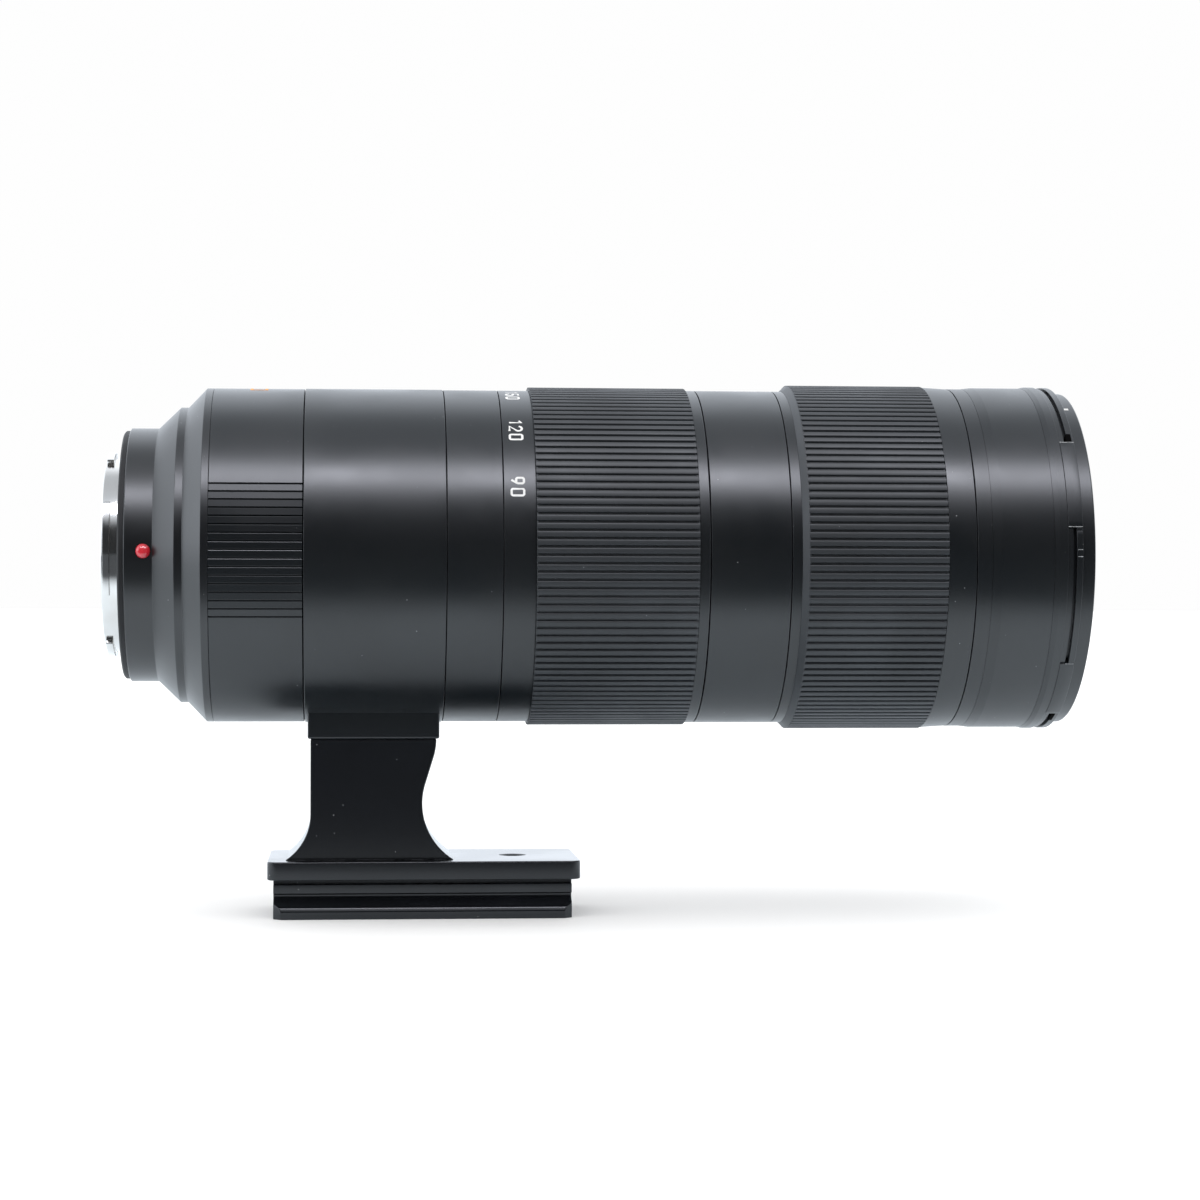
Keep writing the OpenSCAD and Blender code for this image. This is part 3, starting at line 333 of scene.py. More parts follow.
    @staticmethod
    def bar(name: str, section: Sequence[Spot], start: float, end: float) -> Piece:
        """Extrude a cross-section along the optical axis.

        Args:
            name: Name of the new piece.
            section: Places across and heights in millimetres.
            start: Station of its rear end.
            end: Station of its front end.

        Returns:
            The closed bar.
        """
        outline = [Vector((start, y, z)) * MM for y, z in section]
        return Bench.prism(name, outline, Vector(((end - start) * MM, 0, 0)))

    @staticmethod
    def place(piece: Piece, matrix: Matrix) -> None:
        """Set a piece in its place and apply the place to its mesh.

        Args:
            piece: The piece.
            matrix: Its place in metres.
        """
        piece.matrix_world = matrix
        Bench.pick(piece)
        bpy.ops.object.transform_apply(location=True, rotation=True, scale=True)

    @staticmethod
    def copy_round(piece: Piece, count: int, span: float = 360.0) -> None:
        """Copy a piece round the optical axis into the same mesh.

        Args:
            piece: The piece modelled once.
            count: Number of pieces wanted.
            span: Angle from the first to the last plus one step, in degrees.
        """
        Bench.edit(piece)
        angle = math.radians(span) * (count - 1) / count
        bpy.ops.mesh.spin(steps=count - 1, dupli=True, angle=angle, center=(0, 0, 0), axis=AXIS)
        Bench.close()

    @staticmethod
    def apply(piece: Piece, kind: str, **values: object) -> None:
        """Add a modifier and apply it.

        Args:
            piece: The piece that gets it.
            kind: Modifier type.
            values: Its settings.
        """
        Bench.pick(piece)
        modifier = piece.modifiers.new(kind.lower(), kind)
        for key, value in values.items():
            setattr(modifier, key, value)
        bpy.ops.object.modifier_apply(modifier=modifier.name)

    @staticmethod
    def bevel(piece: Piece, width: float, parts: int = 2, angle: float = 35.0) -> None:
        """Round every edge sharper than an angle by a width in millimetres."""
        limit = math.radians(angle)
        Bench.apply(piece, "BEVEL", width=width * MM, segments=parts, limit_method="ANGLE", angle_limit=limit)

    @staticmethod
    def combine(piece: Piece, tool: Piece, how: Merge = Merge.CUT) -> None:
        """Cut a tool out of a piece or unite them, and drop the tool."""
        Bench.apply(piece, "BOOLEAN", object=tool, operation=how.value, solver="EXACT")
        bpy.data.objects.remove(tool, do_unlink=True)

    @staticmethod
    def join(piece: Piece, *others: Piece) -> None:
        """Put other pieces into the same mesh."""
        Bench.pick(piece, *others)
        bpy.ops.object.join()

    @staticmethod
    def smooth(piece: Piece, angle: float = 34.0) -> None:
        """Shade smooth, with edges over an angle kept sharp."""
        Bench.pick(piece)
        bpy.ops.object.shade_smooth_by_angle(angle=math.radians(angle))

    @staticmethod
    def soften(piece: Piece) -> None:
        """Shade smooth with flat faces kept flat by their area."""
        Bench.smooth(piece, 60.0)
        Bench.apply(piece, "WEIGHTED_NORMAL", keep_sharp=True, weight=80)


class Graph:
    """A node tree with short calls that add and join nodes."""

    def __init__(self, tree: bpy.types.NodeTree) -> None:
        """Keep the tree that the calls work on."""
        self.tree = tree

    def add(self, kind: str, **values: object) -> bpy.types.Node:
        """Add a node, with settings as plain names and sockets as s0, s1 and so on.

        Args:
            kind: Node type.
            values: Settings, socket values or sockets to link from.

        Returns:
            The new node.
        """
        node = self.tree.nodes.new(kind)
        for key, value in values.items():
            if key[0] == "s" and key[1:].isdigit():
                self.feed(node.inputs[int(key[1:])], value)
            else:
                setattr(node, key, value)
        return node

    def feed(self, socket: Socket, value: object) -> None:
        """Link an output to a socket, or set the socket's own value.

        Args:
            socket: Socket to feed.
            value: An output socket or a plain value.
        """
        if isinstance(value, Socket):
            self.tree.links.new(value, socket)
        else:
            socket.default_value = value

    def place(self) -> Socket:
        """Coordinates of the object."""
        return self.add("ShaderNodeTexCoord").outputs["Object"]

    def math(self, how: str, a: object, b: object = 0.0) -> Socket:
        """Output of a Math node."""
        return self.add("ShaderNodeMath", operation=how, s0=a, s1=b).outputs[0]

    def noise(self, scale: object, detail: object = 2.0, **values: object) -> Socket:
        """Factor of a Noise Texture.

        Args:
            scale: Its scale.
            detail: Its detail.
            values: Other settings and sockets.

        Returns:
            The output socket.
        """
        node = self.add("ShaderNodeTexNoise", **values)
        self.feed(node.inputs["Scale"], scale)
        self.feed(node.inputs["Detail"], detail)
        return node.outputs["Fac"]

    def ramp(self, value: object, low: float, high: float, to: Spot = (0.0, 1.0)) -> Socket:
        """Output of a smooth Map Range node."""
        ends = {"s1": low, "s2": high, "s3": to[0], "s4": to[1]}
        return self.add("ShaderNodeMapRange", interpolation_type="SMOOTHSTEP", s0=value, **ends).outputs[0]

    def blend(self, share: object, a: object, b: object) -> Socket:
        """Output of a node that blends two values."""
        return self.add("ShaderNodeMix", data_type="FLOAT", s0=share, s2=a, s3=b).outputs[0]

    def mix(self, share: object, a: object, b: object) -> Socket:
        """Output of a node that mixes two colours."""
        return self.add("ShaderNodeMix", data_type="RGBA", s0=share, s6=a, s7=b).outputs[2]

    def effect(self, tree: bpy.types.NodeTree, *values: float) -> Socket:
        """Place an effect group with its own values.

        Args:
            tree: The group.
            values: Values of its first inputs.

        Returns:
            The output socket.
        """
        node = self.add("ShaderNodeGroup", node_tree=tree)
        for socket, value in zip(node.inputs, values):
            socket.default_value = value
        return node.outputs[0]


class Effects:
    """Shader node groups that the finishes share, each built once."""

    @staticmethod
    def group(name: str, **inputs: float) -> tuple[Graph, Sequence[Socket], Socket]:
        """Start a node group with named value inputs and one output.

        Args:
            name: Name of the group.
            inputs: Input names with their usual values.

        Returns:
            The graph, the group's inputs and its output.
        """
        tree = bpy.data.node_groups.new(name, "ShaderNodeTree")
        for key, value in inputs.items():
            tree.interface.new_socket(key, in_out="INPUT", socket_type="NodeSocketFloat").default_value = value
        tree.interface.new_socket("Value", in_out="OUTPUT", socket_type="NodeSocketFloat")
        graph = Graph(tree)
        return graph, graph.add("NodeGroupInput").outputs, graph.add("NodeGroupOutput").inputs[0]

    @staticmethod
    @cache
    def mottle() -> bpy.types.NodeTree:
        """Soft uneven patches, as from handling.

        Returns:
            The group.
        """
        graph, given, out = Effects.group("mottle", Scale=60.0, Detail=4.0)
        patches = graph.noise(given["Scale"], given["Detail"], s0=graph.place())
        graph.feed(out, graph.ramp(patches, 0.32, 0.68))
        return graph.tree

    @staticmethod
    @cache
    def grain() -> bpy.types.NodeTree:
        """Fine grain of a blasted or moulded surface.

        Returns:
            The group.
        """
        graph, given, out = Effects.group("grain", Scale=3000.0)
        graph.feed(out, graph.noise(given["Scale"], s0=graph.place()))
        return graph.tree

    @staticmethod
    @cache
    def lathe_lines() -> bpy.types.NodeTree:
        """Fine rings that turning leaves round the optical axis.

        Returns:
            The group.
        """
        graph, given, out = Effects.group("lathe_lines", Scale=6000.0)
        x, y, z = graph.add("ShaderNodeSeparateXYZ", s0=graph.place()).outputs
        square = graph.math("ADD", graph.math("POWER", y, 2.0), graph.math("POWER", z, 2.0))
        along = graph.math("ADD", x, graph.math("SQRT", square))
        graph.feed(out, graph.noise(given["Scale"], noise_dimensions="1D", s1=along))
        return graph.tree

    @staticmethod
    @cache
    def dust() -> bpy.types.NodeTree:
        """Scattered specks of dust and lint.

        Returns:
            The group.
        """
        graph, given, out = Effects.group("dust", Scale=450.0, Share=0.1, Size=0.08)
        cells = graph.add("ShaderNodeTexVoronoi", s0=graph.place())
        graph.feed(cells.inputs["Scale"], given["Scale"])
        chance = graph.add("ShaderNodeSeparateColor", s0=cells.outputs["Color"]).outputs
        size = graph.math("MULTIPLY", given["Size"], graph.ramp(chance[1], 0.0, 1.0, (0.35, 1.0)))
        near = graph.math("SUBTRACT", 1.0, graph.math("DIVIDE", cells.outputs["Distance"], size))
        kept = graph.math("LESS_THAN", chance[0], given["Share"])
        graph.feed(out, graph.math("MULTIPLY", graph.ramp(near, 0.0, 0.5), kept))
        return graph.tree

    @staticmethod
    @cache
    def edge_wear() -> bpy.types.NodeTree:
        """Mask along convex edges, broken up by noise.

        Returns:
            The group.
        """
        graph, given, out = Effects.group("edge_wear", Radius=0.0004, Break=400.0)
        bent = graph.add("ShaderNodeBevel", samples=6, s0=given["Radius"]).outputs[0]
        plain = graph.add("ShaderNodeNewGeometry").outputs["Normal"]
        same = graph.add("ShaderNodeVectorMath", operation="DOT_PRODUCT", s0=bent, s1=plain)
        edge = graph.ramp(graph.math("SUBTRACT", 1.0, same.outputs["Value"]), 0.02, 0.2)
        broken = graph.ramp(graph.noise(given["Break"], s0=graph.place()), 0.3, 0.6)
        graph.feed(out, graph.math("MULTIPLY", edge, broken))
        return graph.tree


def material(name: str) -> tuple[Look, Graph, bpy.types.NodeInputs]:
    """Start a node material.

    Args:
        name: Name of the material.

    Returns:
        The material, its graph and the sockets of its Principled BSDF.
    """
    look = bpy.data.materials.new(name)
    look.use_nodes = True
    return look, Graph(look.node_tree), look.node_tree.nodes["Principled BSDF"].inputs


@dataclass(frozen=True)
class Finish:
    """An opaque surface with its colour, gloss, grain, dust and wear."""

    name: str
    colour: RGB
    rough: float
    metallic: float = 0.0
    specular: float = 0.5
    coat: float = 0.0
    coat_rough: float = 0.06
    second: RGB | None = None
    shade: float = 0.72
    patch: float = 40.0
    patch_detail: float = 5.0
    uneven: float = 0.06
    grain: float = 0.0
    grain_scale: float = 3000.0
    lines: float = 0.0
    line_scale: float = 6000.0
    dust: float = 0.0
    dust_scale: float = 450.0
    dust_size: float = 0.07
    dust_colour: RGB = (0.34, 0.35, 0.36)
    wear: float = 0.0
    wear_colour: RGB = (0.2, 0.21, 0.22)

    def make(self) -> Look:
        """Build the node material.

        Returns:
            The material.
        """
        look, graph, sockets = material(self.name)
        sockets["Metallic"].default_value = self.metallic
        sockets["Specular IOR Level"].default_value = self.specular
        sockets["Coat Weight"].default_value = self.coat
        sockets["Coat Roughness"].default_value = self.coat_rough
        patches = graph.effect(Effects.mottle(), self.patch, self.patch_detail)
        second = self.second or tuple(self.shade * c for c in self.colour)
        colour = graph.mix(patches, (*self.colour, 1.0), (*second, 1.0))
        rough = graph.ramp(patches, 0.0, 1.0, (self.rough - self.uneven, self.rough + self.uneven))
        if self.wear:
            wear_and_highlight = graph.math("MULTIPLY", graph.effect(Effects.edge_wear()), self.wear)
            colour = graph.mix(wear_and_highlight, colour, (*self.wear_colour, 1.0))
        if self.dust:
            specks = graph.effect(Effects.dust(), self.dust_scale, self.dust, self.dust_size)
            colour = graph.mix(specks, colour, (*self.dust_colour, 1.0))
            rough = graph.math("MAXIMUM", rough, specks)
        graph.feed(sockets["Base Color"], colour)
        graph.feed(sockets["Roughness"], rough)
        if self.grain or self.lines:
            graph.feed(sockets["Normal"], self.relief(graph))
        return look

    def relief(self, graph: Graph) -> Socket:
        """Bump of the grain and the turned lines.

        Args:
            graph: Graph of the material.

        Returns:
            The bumped normal.
        """
        heights = []
        if self.grain:
            heights.append(graph.math("MULTIPLY", graph.effect(Effects.grain(), self.grain_scale), self.grain))
        if self.lines:
            heights.append(graph.math("MULTIPLY", graph.effect(Effects.lathe_lines(), self.line_scale), self.lines))
        bump = graph.add("ShaderNodeBump")
        bump.inputs["Strength"].default_value = 1.0
        bump.inputs["Distance"].default_value = MM
        graph.feed(bump.inputs["Height"], heights[0] if len(heights) == 1 else graph.math("ADD", *heights))
        return bump.outputs[0]


@dataclass(frozen=True)
class CoatedGlass:
    """Optical glass with a tinted anti-reflection coating."""

    name: str
    tint: RGB
    sheen: RGB
    index: float = 1.52
    patch: float = 45.0
    haze: float = 0.02
    paler: float = 1.04

    def make(self) -> Look:
        """Build the node material.

        Returns:
            The material.
        """
        look, graph, sockets = material(self.name)
        sockets["Transmission Weight"].default_value = 1.0
        sockets["IOR"].default_value = self.index
        sockets["Specular Tint"].default_value = (*self.sheen, 1.0)
        patches = graph.effect(Effects.mottle(), self.patch)
        graph.feed(sockets["Roughness"], graph.ramp(patches, 0.0, 1.0, (0.0, self.haze)))
        pale = tuple(min(1.0, self.paler * c) for c in self.tint)
        graph.feed(sockets["Base Color"], graph.mix(patches, (*self.tint, 1.0), (*pale, 1.0)))
        return look


class Looks:
    """Every finish of the lens, made once."""

    def __init__(self) -> None:
        """Make the materials."""
        satin = (0.003, 0.0051, 0.007)
        dusty = {"uneven": 0.03, "dust": 0.22, "dust_size": 0.075}
        self.anodised = Finish(
            "anodised_satin_black", satin, 0.31, specular=0.85, grain=0.0022, grain_scale=5200.0, lines=0.0012,
            **dusty,
        ).make()
        self.collar = Finish(
            "anodised_collar_black", satin, 0.31, specular=0.85, grain=0.003, grain_scale=4600.0, **dusty,
        ).make()
        self.cover = Finish(
            "anodised_satin_cover", (0.0042, 0.0052, 0.0066), 0.32, specular=0.9, grain=0.0025,
            grain_scale=4200.0, **{**dusty, "dust": 0.2},
        ).make()
        self.foot = Finish(
            "satin_black_foot", (0.0075, 0.0085, 0.0105), 0.15, specular=0.56, uneven=0.02, grain=0.0008,
            grain_scale=3600.0, dust=0.2, wear=0.9, wear_colour=(0.13, 0.135, 0.145),
        ).make()
        self.rubber = Finish(
            "ribbed_rubber", (0.0255, 0.0295, 0.0345), 0.5, specular=0.75, grain=0.005, grain_scale=2600.0,
            dust_colour=(0.22, 0.23, 0.24), **{**dusty, "uneven": 0.04},
        ).make()
        self.seal = Finish(
            "soft_black_seal", (0.012, 0.012, 0.013), 0.6, specular=0.4, grain=0.004, dust=0.05,
        ).make()
        self.chrome = Finish(
            "turned_bright_metal", (0.78, 0.77, 0.75), 0.16, metallic=1.0, uneven=0.05, lines=0.004,
            line_scale=9000.0, patch=90.0, second=(0.7, 0.68, 0.65),
        ).make()
        self.steel = Finish(
            "bright_steel", (0.55, 0.54, 0.53), 0.28, metallic=1.0, grain=0.003, second=(0.42, 0.41, 0.41),
        ).make()
        self.dark_steel = Finish(
            "blackened_steel", (0.05, 0.05, 0.053), 0.38, metallic=0.7, grain=0.004, second=(0.03, 0.03, 0.032),
        ).make()
        self.gilt = Finish(
            "gilt_contact", (0.83, 0.6, 0.24), 0.24, metallic=1.0, uneven=0.05, grain=0.002,
            second=(0.72, 0.49, 0.18),
        ).make()
        self.inner = Finish(
            "matte_inner_black", (0.01, 0.01, 0.0105), 0.62, specular=0.35, lines=0.01, line_scale=2500.0,
        ).make()
        # Near-black with almost no gloss: painted shade for the hood bayonet's notches, which are not cut.
        self.notch_shade = Finish(
            "painted_notch_shade", (0.002, 0.002, 0.0022), 0.9, specular=0.05, uneven=0.05, grain=0.004,
        ).make()
        self.grey = Finish(
            "bare_inner_alloy", (0.33, 0.33, 0.34), 0.36, metallic=1.0, lines=0.004, second=(0.27, 0.27, 0.28),
        ).make()
        self.plastic = Finish(
            "black_moulded_plastic", (0.013, 0.013, 0.014), 0.46, uneven=0.05, grain=0.006,
        ).make()
        self.pale = Finish(
            "pale_bearing_plastic", (0.62, 0.58, 0.48), 0.45, uneven=0.05, grain=0.004,
            second=(0.55, 0.51, 0.42),
        ).make()
        self.board = Finish(
            "green_circuit_board", (0.018, 0.12, 0.045), 0.4, coat=0.4, uneven=0.08, patch=160.0,
            second=(0.01, 0.07, 0.03),
        ).make()
        self.copper = Finish(
            "wound_copper", (0.7, 0.33, 0.18), 0.32, metallic=1.0, lines=0.02, line_scale=2500.0,
            second=(0.56, 0.25, 0.13),
        ).make()
        self.red = Finish(
            "red_enamel", (0.76, 0.028, 0.046), 0.2, specular=0.6, coat=1.0, uneven=0.03, patch=300.0,
            second=(0.58, 0.015, 0.028),
        ).make()
        self.white_paint = Finish(
            "white_fill_paint", (0.86, 0.86, 0.86), 0.5, uneven=0.05, patch=500.0, second=(0.78, 0.78, 0.77),
        ).make()
        self.orange_paint = Finish(
            "orange_fill_paint", (0.95, 0.36, 0.03), 0.5, specular=0.15, uneven=0.05, patch=500.0,
            second=(0.85, 0.3, 0.025),
        ).make()
        # Light grey strips of painted highlight for the hood bayonet's tab and detent edges.
        self.wear_and_highlight = Finish(
            "painted_edge_highlight", (0.5, 0.51, 0.53), 0.4, uneven=0.08, patch=900.0, second=(0.2, 0.205, 0.21),
        ).make()
        self.front_glass = CoatedGlass("coated_front_glass", (0.96, 0.97, 0.985), (0.2, 0.13, 0.3)).make()
        self.inner_glass = CoatedGlass("coated_inner_glass", (0.88, 0.91, 0.92), (0.06, 0.13, 0.09)).make()


@dataclass
class Assembly:
    """Pieces that ride on one body, with sizes in millimetres."""

    looks: Looks
    body: Body = Body.BARREL

    def build(self) -> None:
        """Build and dress every piece."""
        raise NotImplementedError

    def deliver(self, piece: Piece, look: Look, *nodes: str, slot: Slot = Slot.BLACK_METAL) -> None:
        """Dress a finished piece, make it ride and hide the CAD nodes that it stands for.

        Args:
            piece: The finished piece.
            look: Its material.
            nodes: CAD nodes that it stands for.
            slot: Material slot of the record; not used.
        """
        Bench.clear()
        piece.data.materials.clear()
        piece.data.materials.append(look)
        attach(piece, self.body.value)
        if nodes:
            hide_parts(*nodes)
        LOG.info("%s: %d faces on %s", piece.name, len(piece.data.polygons), self.body.value)


@dataclass
class BayonetEnd(Assembly):
    """Bright bayonet plate with its lugs and screws, the dust seal and the contacts."""

    throat: float = 22.6
    register: float = 24.4
    register_end: float = -5.5
    lug: float = 25.7
    lug_back: float = -5.05
    lug_front: float = -3.35
    lug_first: float = 93.0
    lug_width: float = 54.0
    lugs: int = 4
    relief: float = 26.3
    relief_floor: float = 0.4
    rim: float = 30.2
    thickness: float = 2.0
    screw_circle: float = 28.25
    screw_first: float = 30.0
    screws: int = 6
    cross: Spot = (0.42, 2.3)
    seal: float = 31.25
    seal_back: float = -1.15
    seal_front: float = 0.8
    pin_circle: float = 21.05
    pin_first: float = -120.0
    pin_span: float = 60.0
    pins: int = 10

    def build(self) -> None:
        """Build and dress every piece of the rear end."""
        self.deliver(self.plate(), self.looks.chrome, "mount_flange", slot=Slot.CHROME)
        self.deliver(self.screw_heads(), self.looks.steel, "mount_screws", slot=Slot.STEEL)
        self.deliver(self.dust_seal(), self.looks.seal, "flange_seal", slot=Slot.PLASTIC)
        self.deliver(self.contacts(), self.looks.gilt, "contact_pins", slot=Slot.GILT)

    def plate(self) -> Piece:
        """Turn the plate, set on its lugs and sink the screw seats.

        Returns:
            The bayonet plate.
        """
        plate = Bench.lathe("bayonet_plate", rounded([
            (self.register_end, self.throat, 0.2), (self.register_end, self.register, 0.35),
            (self.relief_floor, self.register, 0.08), (self.relief_floor, self.relief, 0.06),
            (0.0, self.relief, 0.12), (0.0, self.rim, 0.15), (self.thickness, self.rim, 0.0),
            (self.thickness, self.throat, 0.0),
        ]))
        foot, back, front = self.register - 0.5, self.lug_back, self.lug_front
        half = self.lug_width / 2
        outline = [(back, foot), (back, self.lug), (front, self.lug), (front, foot)]
        lug = Bench.sector("lug", outline, self.lug_first - half, self.lug_first + half)
        Bench.bevel(lug, 0.18)
        Bench.copy_round(lug, self.lugs)
        seat = Bench.rod("seat", [(-0.6, 2.5), (1.0, 1.05), (2.6, 1.05)], 32)
        Bench.place(seat, Matrix.Translation(at(0.0, self.screw_circle, self.screw_first)))
        Bench.copy_round(seat, self.screws)
        Bench.combine(plate, seat)
        Bench.join(plate, lug)
        Bench.smooth(plate)
        return plate

    def screw_heads(self) -> Piece:
        """Turn one countersunk screw with a cross recess and copy it round.

        Returns:
            All the screws of the plate.
        """
        head = [(0.12, 1.5), (0.14, 1.66), (0.24, 1.74), (1.0, 1.0), (1.95, 1.0)]
        screw = Bench.rod("plate_screws", head, 32)
        for wide, tall in (self.cross, self.cross[::-1]):
            section = [(y * wide / 2, z * tall / 2) for y, z in ((-1, -1), (1, -1), (1, 1), (-1, 1))]
            Bench.combine(screw, Bench.bar("slot", section, -0.2, 0.6))
        Bench.bevel(screw, 0.04)
        Bench.place(screw, Matrix.Translation(at(0.0, self.screw_circle, self.screw_first)))
        Bench.copy_round(screw, self.screws)
        Bench.smooth(screw)
        return screw

    def dust_seal(self) -> Piece:
        """Turn the soft lip round the plate.

        Returns:
            The seal.
        """
        back, front = self.seal_back, self.seal_front
        return Bench.turned("dust_seal", [
            (front, self.rim, 0.0), (-0.1, self.rim, 0.1), (back + 0.1, self.rim + 0.25, 0.15),
            (back, self.seal - 0.5, 0.2), (back + 0.45, self.seal, 0.3), (front, self.seal, 0.1),
        ])

    def contacts(self) -> Piece:
        """Turn one domed contact and copy it along the block.

        Returns:
            The row of contacts.
        """
        pin = Bench.lathe("contact_row", [
            (-5.02, 0.0), (-5.0, 0.2), (-4.93, 0.38), (-4.8, 0.53), (-4.62, 0.59), (-4.4, 0.59), (-3.2, 0.59),
            (-3.2, 0.0),
        ], closed=False, steps=20)
        Bench.place(pin, Matrix.Translation(at(0.0, self.pin_circle, self.pin_first)))
        Bench.copy_round(pin, self.pins, self.pin_span * self.pins / (self.pins - 1))
        Bench.smooth(pin)
        return pin


@dataclass
class RearCover(Assembly):
    """Stepped cover behind the barrel with the red alignment bead."""

    neck: float = 31.9
    neck_end: float = 7.4
    band: float = 37.2
    band_start: float = 12.9
    band_end: float = 14.8
    barrel: float = 42.1
    shoulder: float = 19.45
    end: float = 21.2
    inside: tuple[Spot, ...] = (
        (19.2, 39.8), (19.2, 34.3), (13.2, 34.3), (13.2, 28.0), (5.0, 28.0), (5.0, 24.5), (2.0, 24.5), (2.0, 30.2),
    )
    bead_x: float = 5.2
    bead_turn: float = 0.8
    bead: float = 1.85
    bead_height: float = 1.05
    bead_dome: float = 1.5
    bead_depth: float = 1.6

    def build(self) -> None:
        """Build and dress the cover and the bead."""
        self.deliver(self.cover(), self.looks.cover, "mount_cone")
        self.deliver(self.ball(), self.looks.red, "index_bead", slot=Slot.RED)

    def cover(self) -> Piece:
        """Turn the neck, the cones and the band, and drill the bead's seat.

        Returns:
            The cover.
        """
        cover = Bench.lathe("rear_cover", rounded([
            (0.8, self.inside[-1][1], 0.0), (0.35, self.neck - 0.45, 0.06), (0.65, self.neck, 0.12),
            (self.neck_end, self.neck, 0.35), (self.band_start, self.band, 0.3), (self.band_end, self.band, 0.25),
            (self.shoulder, self.barrel, 0.3), (self.end, self.barrel, EDGE), (self.end, self.inside[0][1], 0.0),
            *[(x, r, 0.0) for x, r in self.inside],
        ]))
        hole = Bench.rod("hole", [(self.neck - self.bead_depth, self.bead), (self.neck + 2.6, self.bead)], 40)
        Bench.place(hole, self.near_side())
        Bench.combine(cover, hole)
        Bench.smooth(cover)
        return cover

    def ball(self) -> Piece:
        """Turn the domed bead about its own axis.

        Returns:
            The bead.
        """
        top, seat, r = self.neck + self.bead_height, self.neck - self.bead_depth + 0.05, self.bead - 0.02
        turns = [math.pi / 24.0 * i for i in range(13)]
        dome = [(top - self.bead_dome * (1.0 - math.cos(a)), r * math.sin(a)) for a in turns]
        bead = Bench.lathe("alignment_bead", [*dome, (seat, r), (seat, 0.0)], closed=False, steps=48)
        Bench.place(bead, self.near_side())
        Bench.smooth(bead)
        return bead

    def near_side(self) -> Matrix:
        """Place that turns the lathe axis to the near side at the bead's station."""
        return aim(self.bead_x, -self.bead_turn, "X") @ aim(0.0, -90.0, "Z")


@dataclass
class RearBarrel(Assembly):
    """Rear section with a field of long grooves on each side and a plain painted frame on top."""

    start: float = 21.2
    end: float = 43.85
    radius: float = 42.1
    bore: float = 39.8
    grooves: int = 17
    pitch: float = 2.8
    middle: float = 1.0
    width: float = 0.3
    lower_lip: tuple[Spot, ...] = ((-0.22, 0.0), (-0.09, 0.05), (-0.02, 0.13), (0.03, 0.4))
    upper_lip: tuple[Spot, ...] = ((-0.03, 0.4), (0.0, 0.07), (0.03, 0.02), (0.1, 0.0))
    plain_step: float = 1.9
    frame_x: Spot = (31.0, 34.0)
    frame_ends: Spot = (78.9, 101.1)
    frame_span: float = 22.9
    end_line: float = 0.5
    side_line: float = 0.7

    def build(self) -> None:
        """Build and dress the section and its plain frame."""
        self.deliver(self.section(), self.looks.anodised, "rear_barrel")
        self.deliver(self.mark(), self.looks.orange_paint)

    def mark(self) -> Piece:
        """Lay the four lines of the frame on the barrel.

        Returns:
            The frame.
        """
        rear, front = self.frame_x
        long = math.radians(self.frame_span) * self.radius
        lines = [Marks.dash("rear_mark", rear, front, self.end_line, self.radius, phi) for phi in self.frame_ends]
        for x in (rear - self.side_line, front):
            lines.append(Marks.dash("side", x, x + self.side_line, long, self.radius, 90.0))
        Bench.join(*lines)
        return lines[0]

    def rim(self) -> list[Spot]:
        """List the cross-section as angles and radii, with every groove.

        Returns:
            Angles in degrees and radii in millimetres, once round.
        """
        half = math.degrees(self.width / 2.0 / self.radius)
        plain = 180.0 - self.grooves * self.pitch
        count = round(plain / self.plain_step)
        spots: list[Spot] = []
        for side in (0.0, 180.0):
            for i in range(self.grooves):
                a = side + self.middle + (i - (self.grooves - 1) / 2.0) * self.pitch
                spots += [(a - half + turn, self.radius - drop) for turn, drop in self.lower_lip]
                spots += [(a + half + turn, self.radius - drop) for turn, drop in self.upper_lip]
            first = side + self.middle + self.grooves / 2.0 * self.pitch
            spots += [(first + plain * i / count, self.radius) for i in range(count + 1)]
        return spots

    def section(self) -> Piece:
        """Extrude the grooved outline along the axis with small end chamfers and bore it.

        Returns:
            The grooved section.
        """
        small = 1.0 - EDGE / self.radius
        section = Bench.chain("rear_section", [at(self.start, r * small, a) for a, r in self.rim()])
        bpy.ops.mesh.edge_face_add()
        length = self.end - self.start
        for run, scale in ((EDGE, 1.0 / small), (length - 2.0 * EDGE, 1.0), (EDGE, small)):
            bpy.ops.mesh.extrude_region_move(TRANSFORM_OT_translate={"value": (run * MM, 0, 0)})
            bpy.ops.transform.resize(value=(1.0, scale, scale), center_override=(0, 0, 0))
        Bench.close()
        bore = Bench.rod("bore", [(self.start - 1, self.bore), (self.end + 1, self.bore)], 128)
        Bench.combine(section, bore)
        Bench.smooth(section, 12.0)
        return section


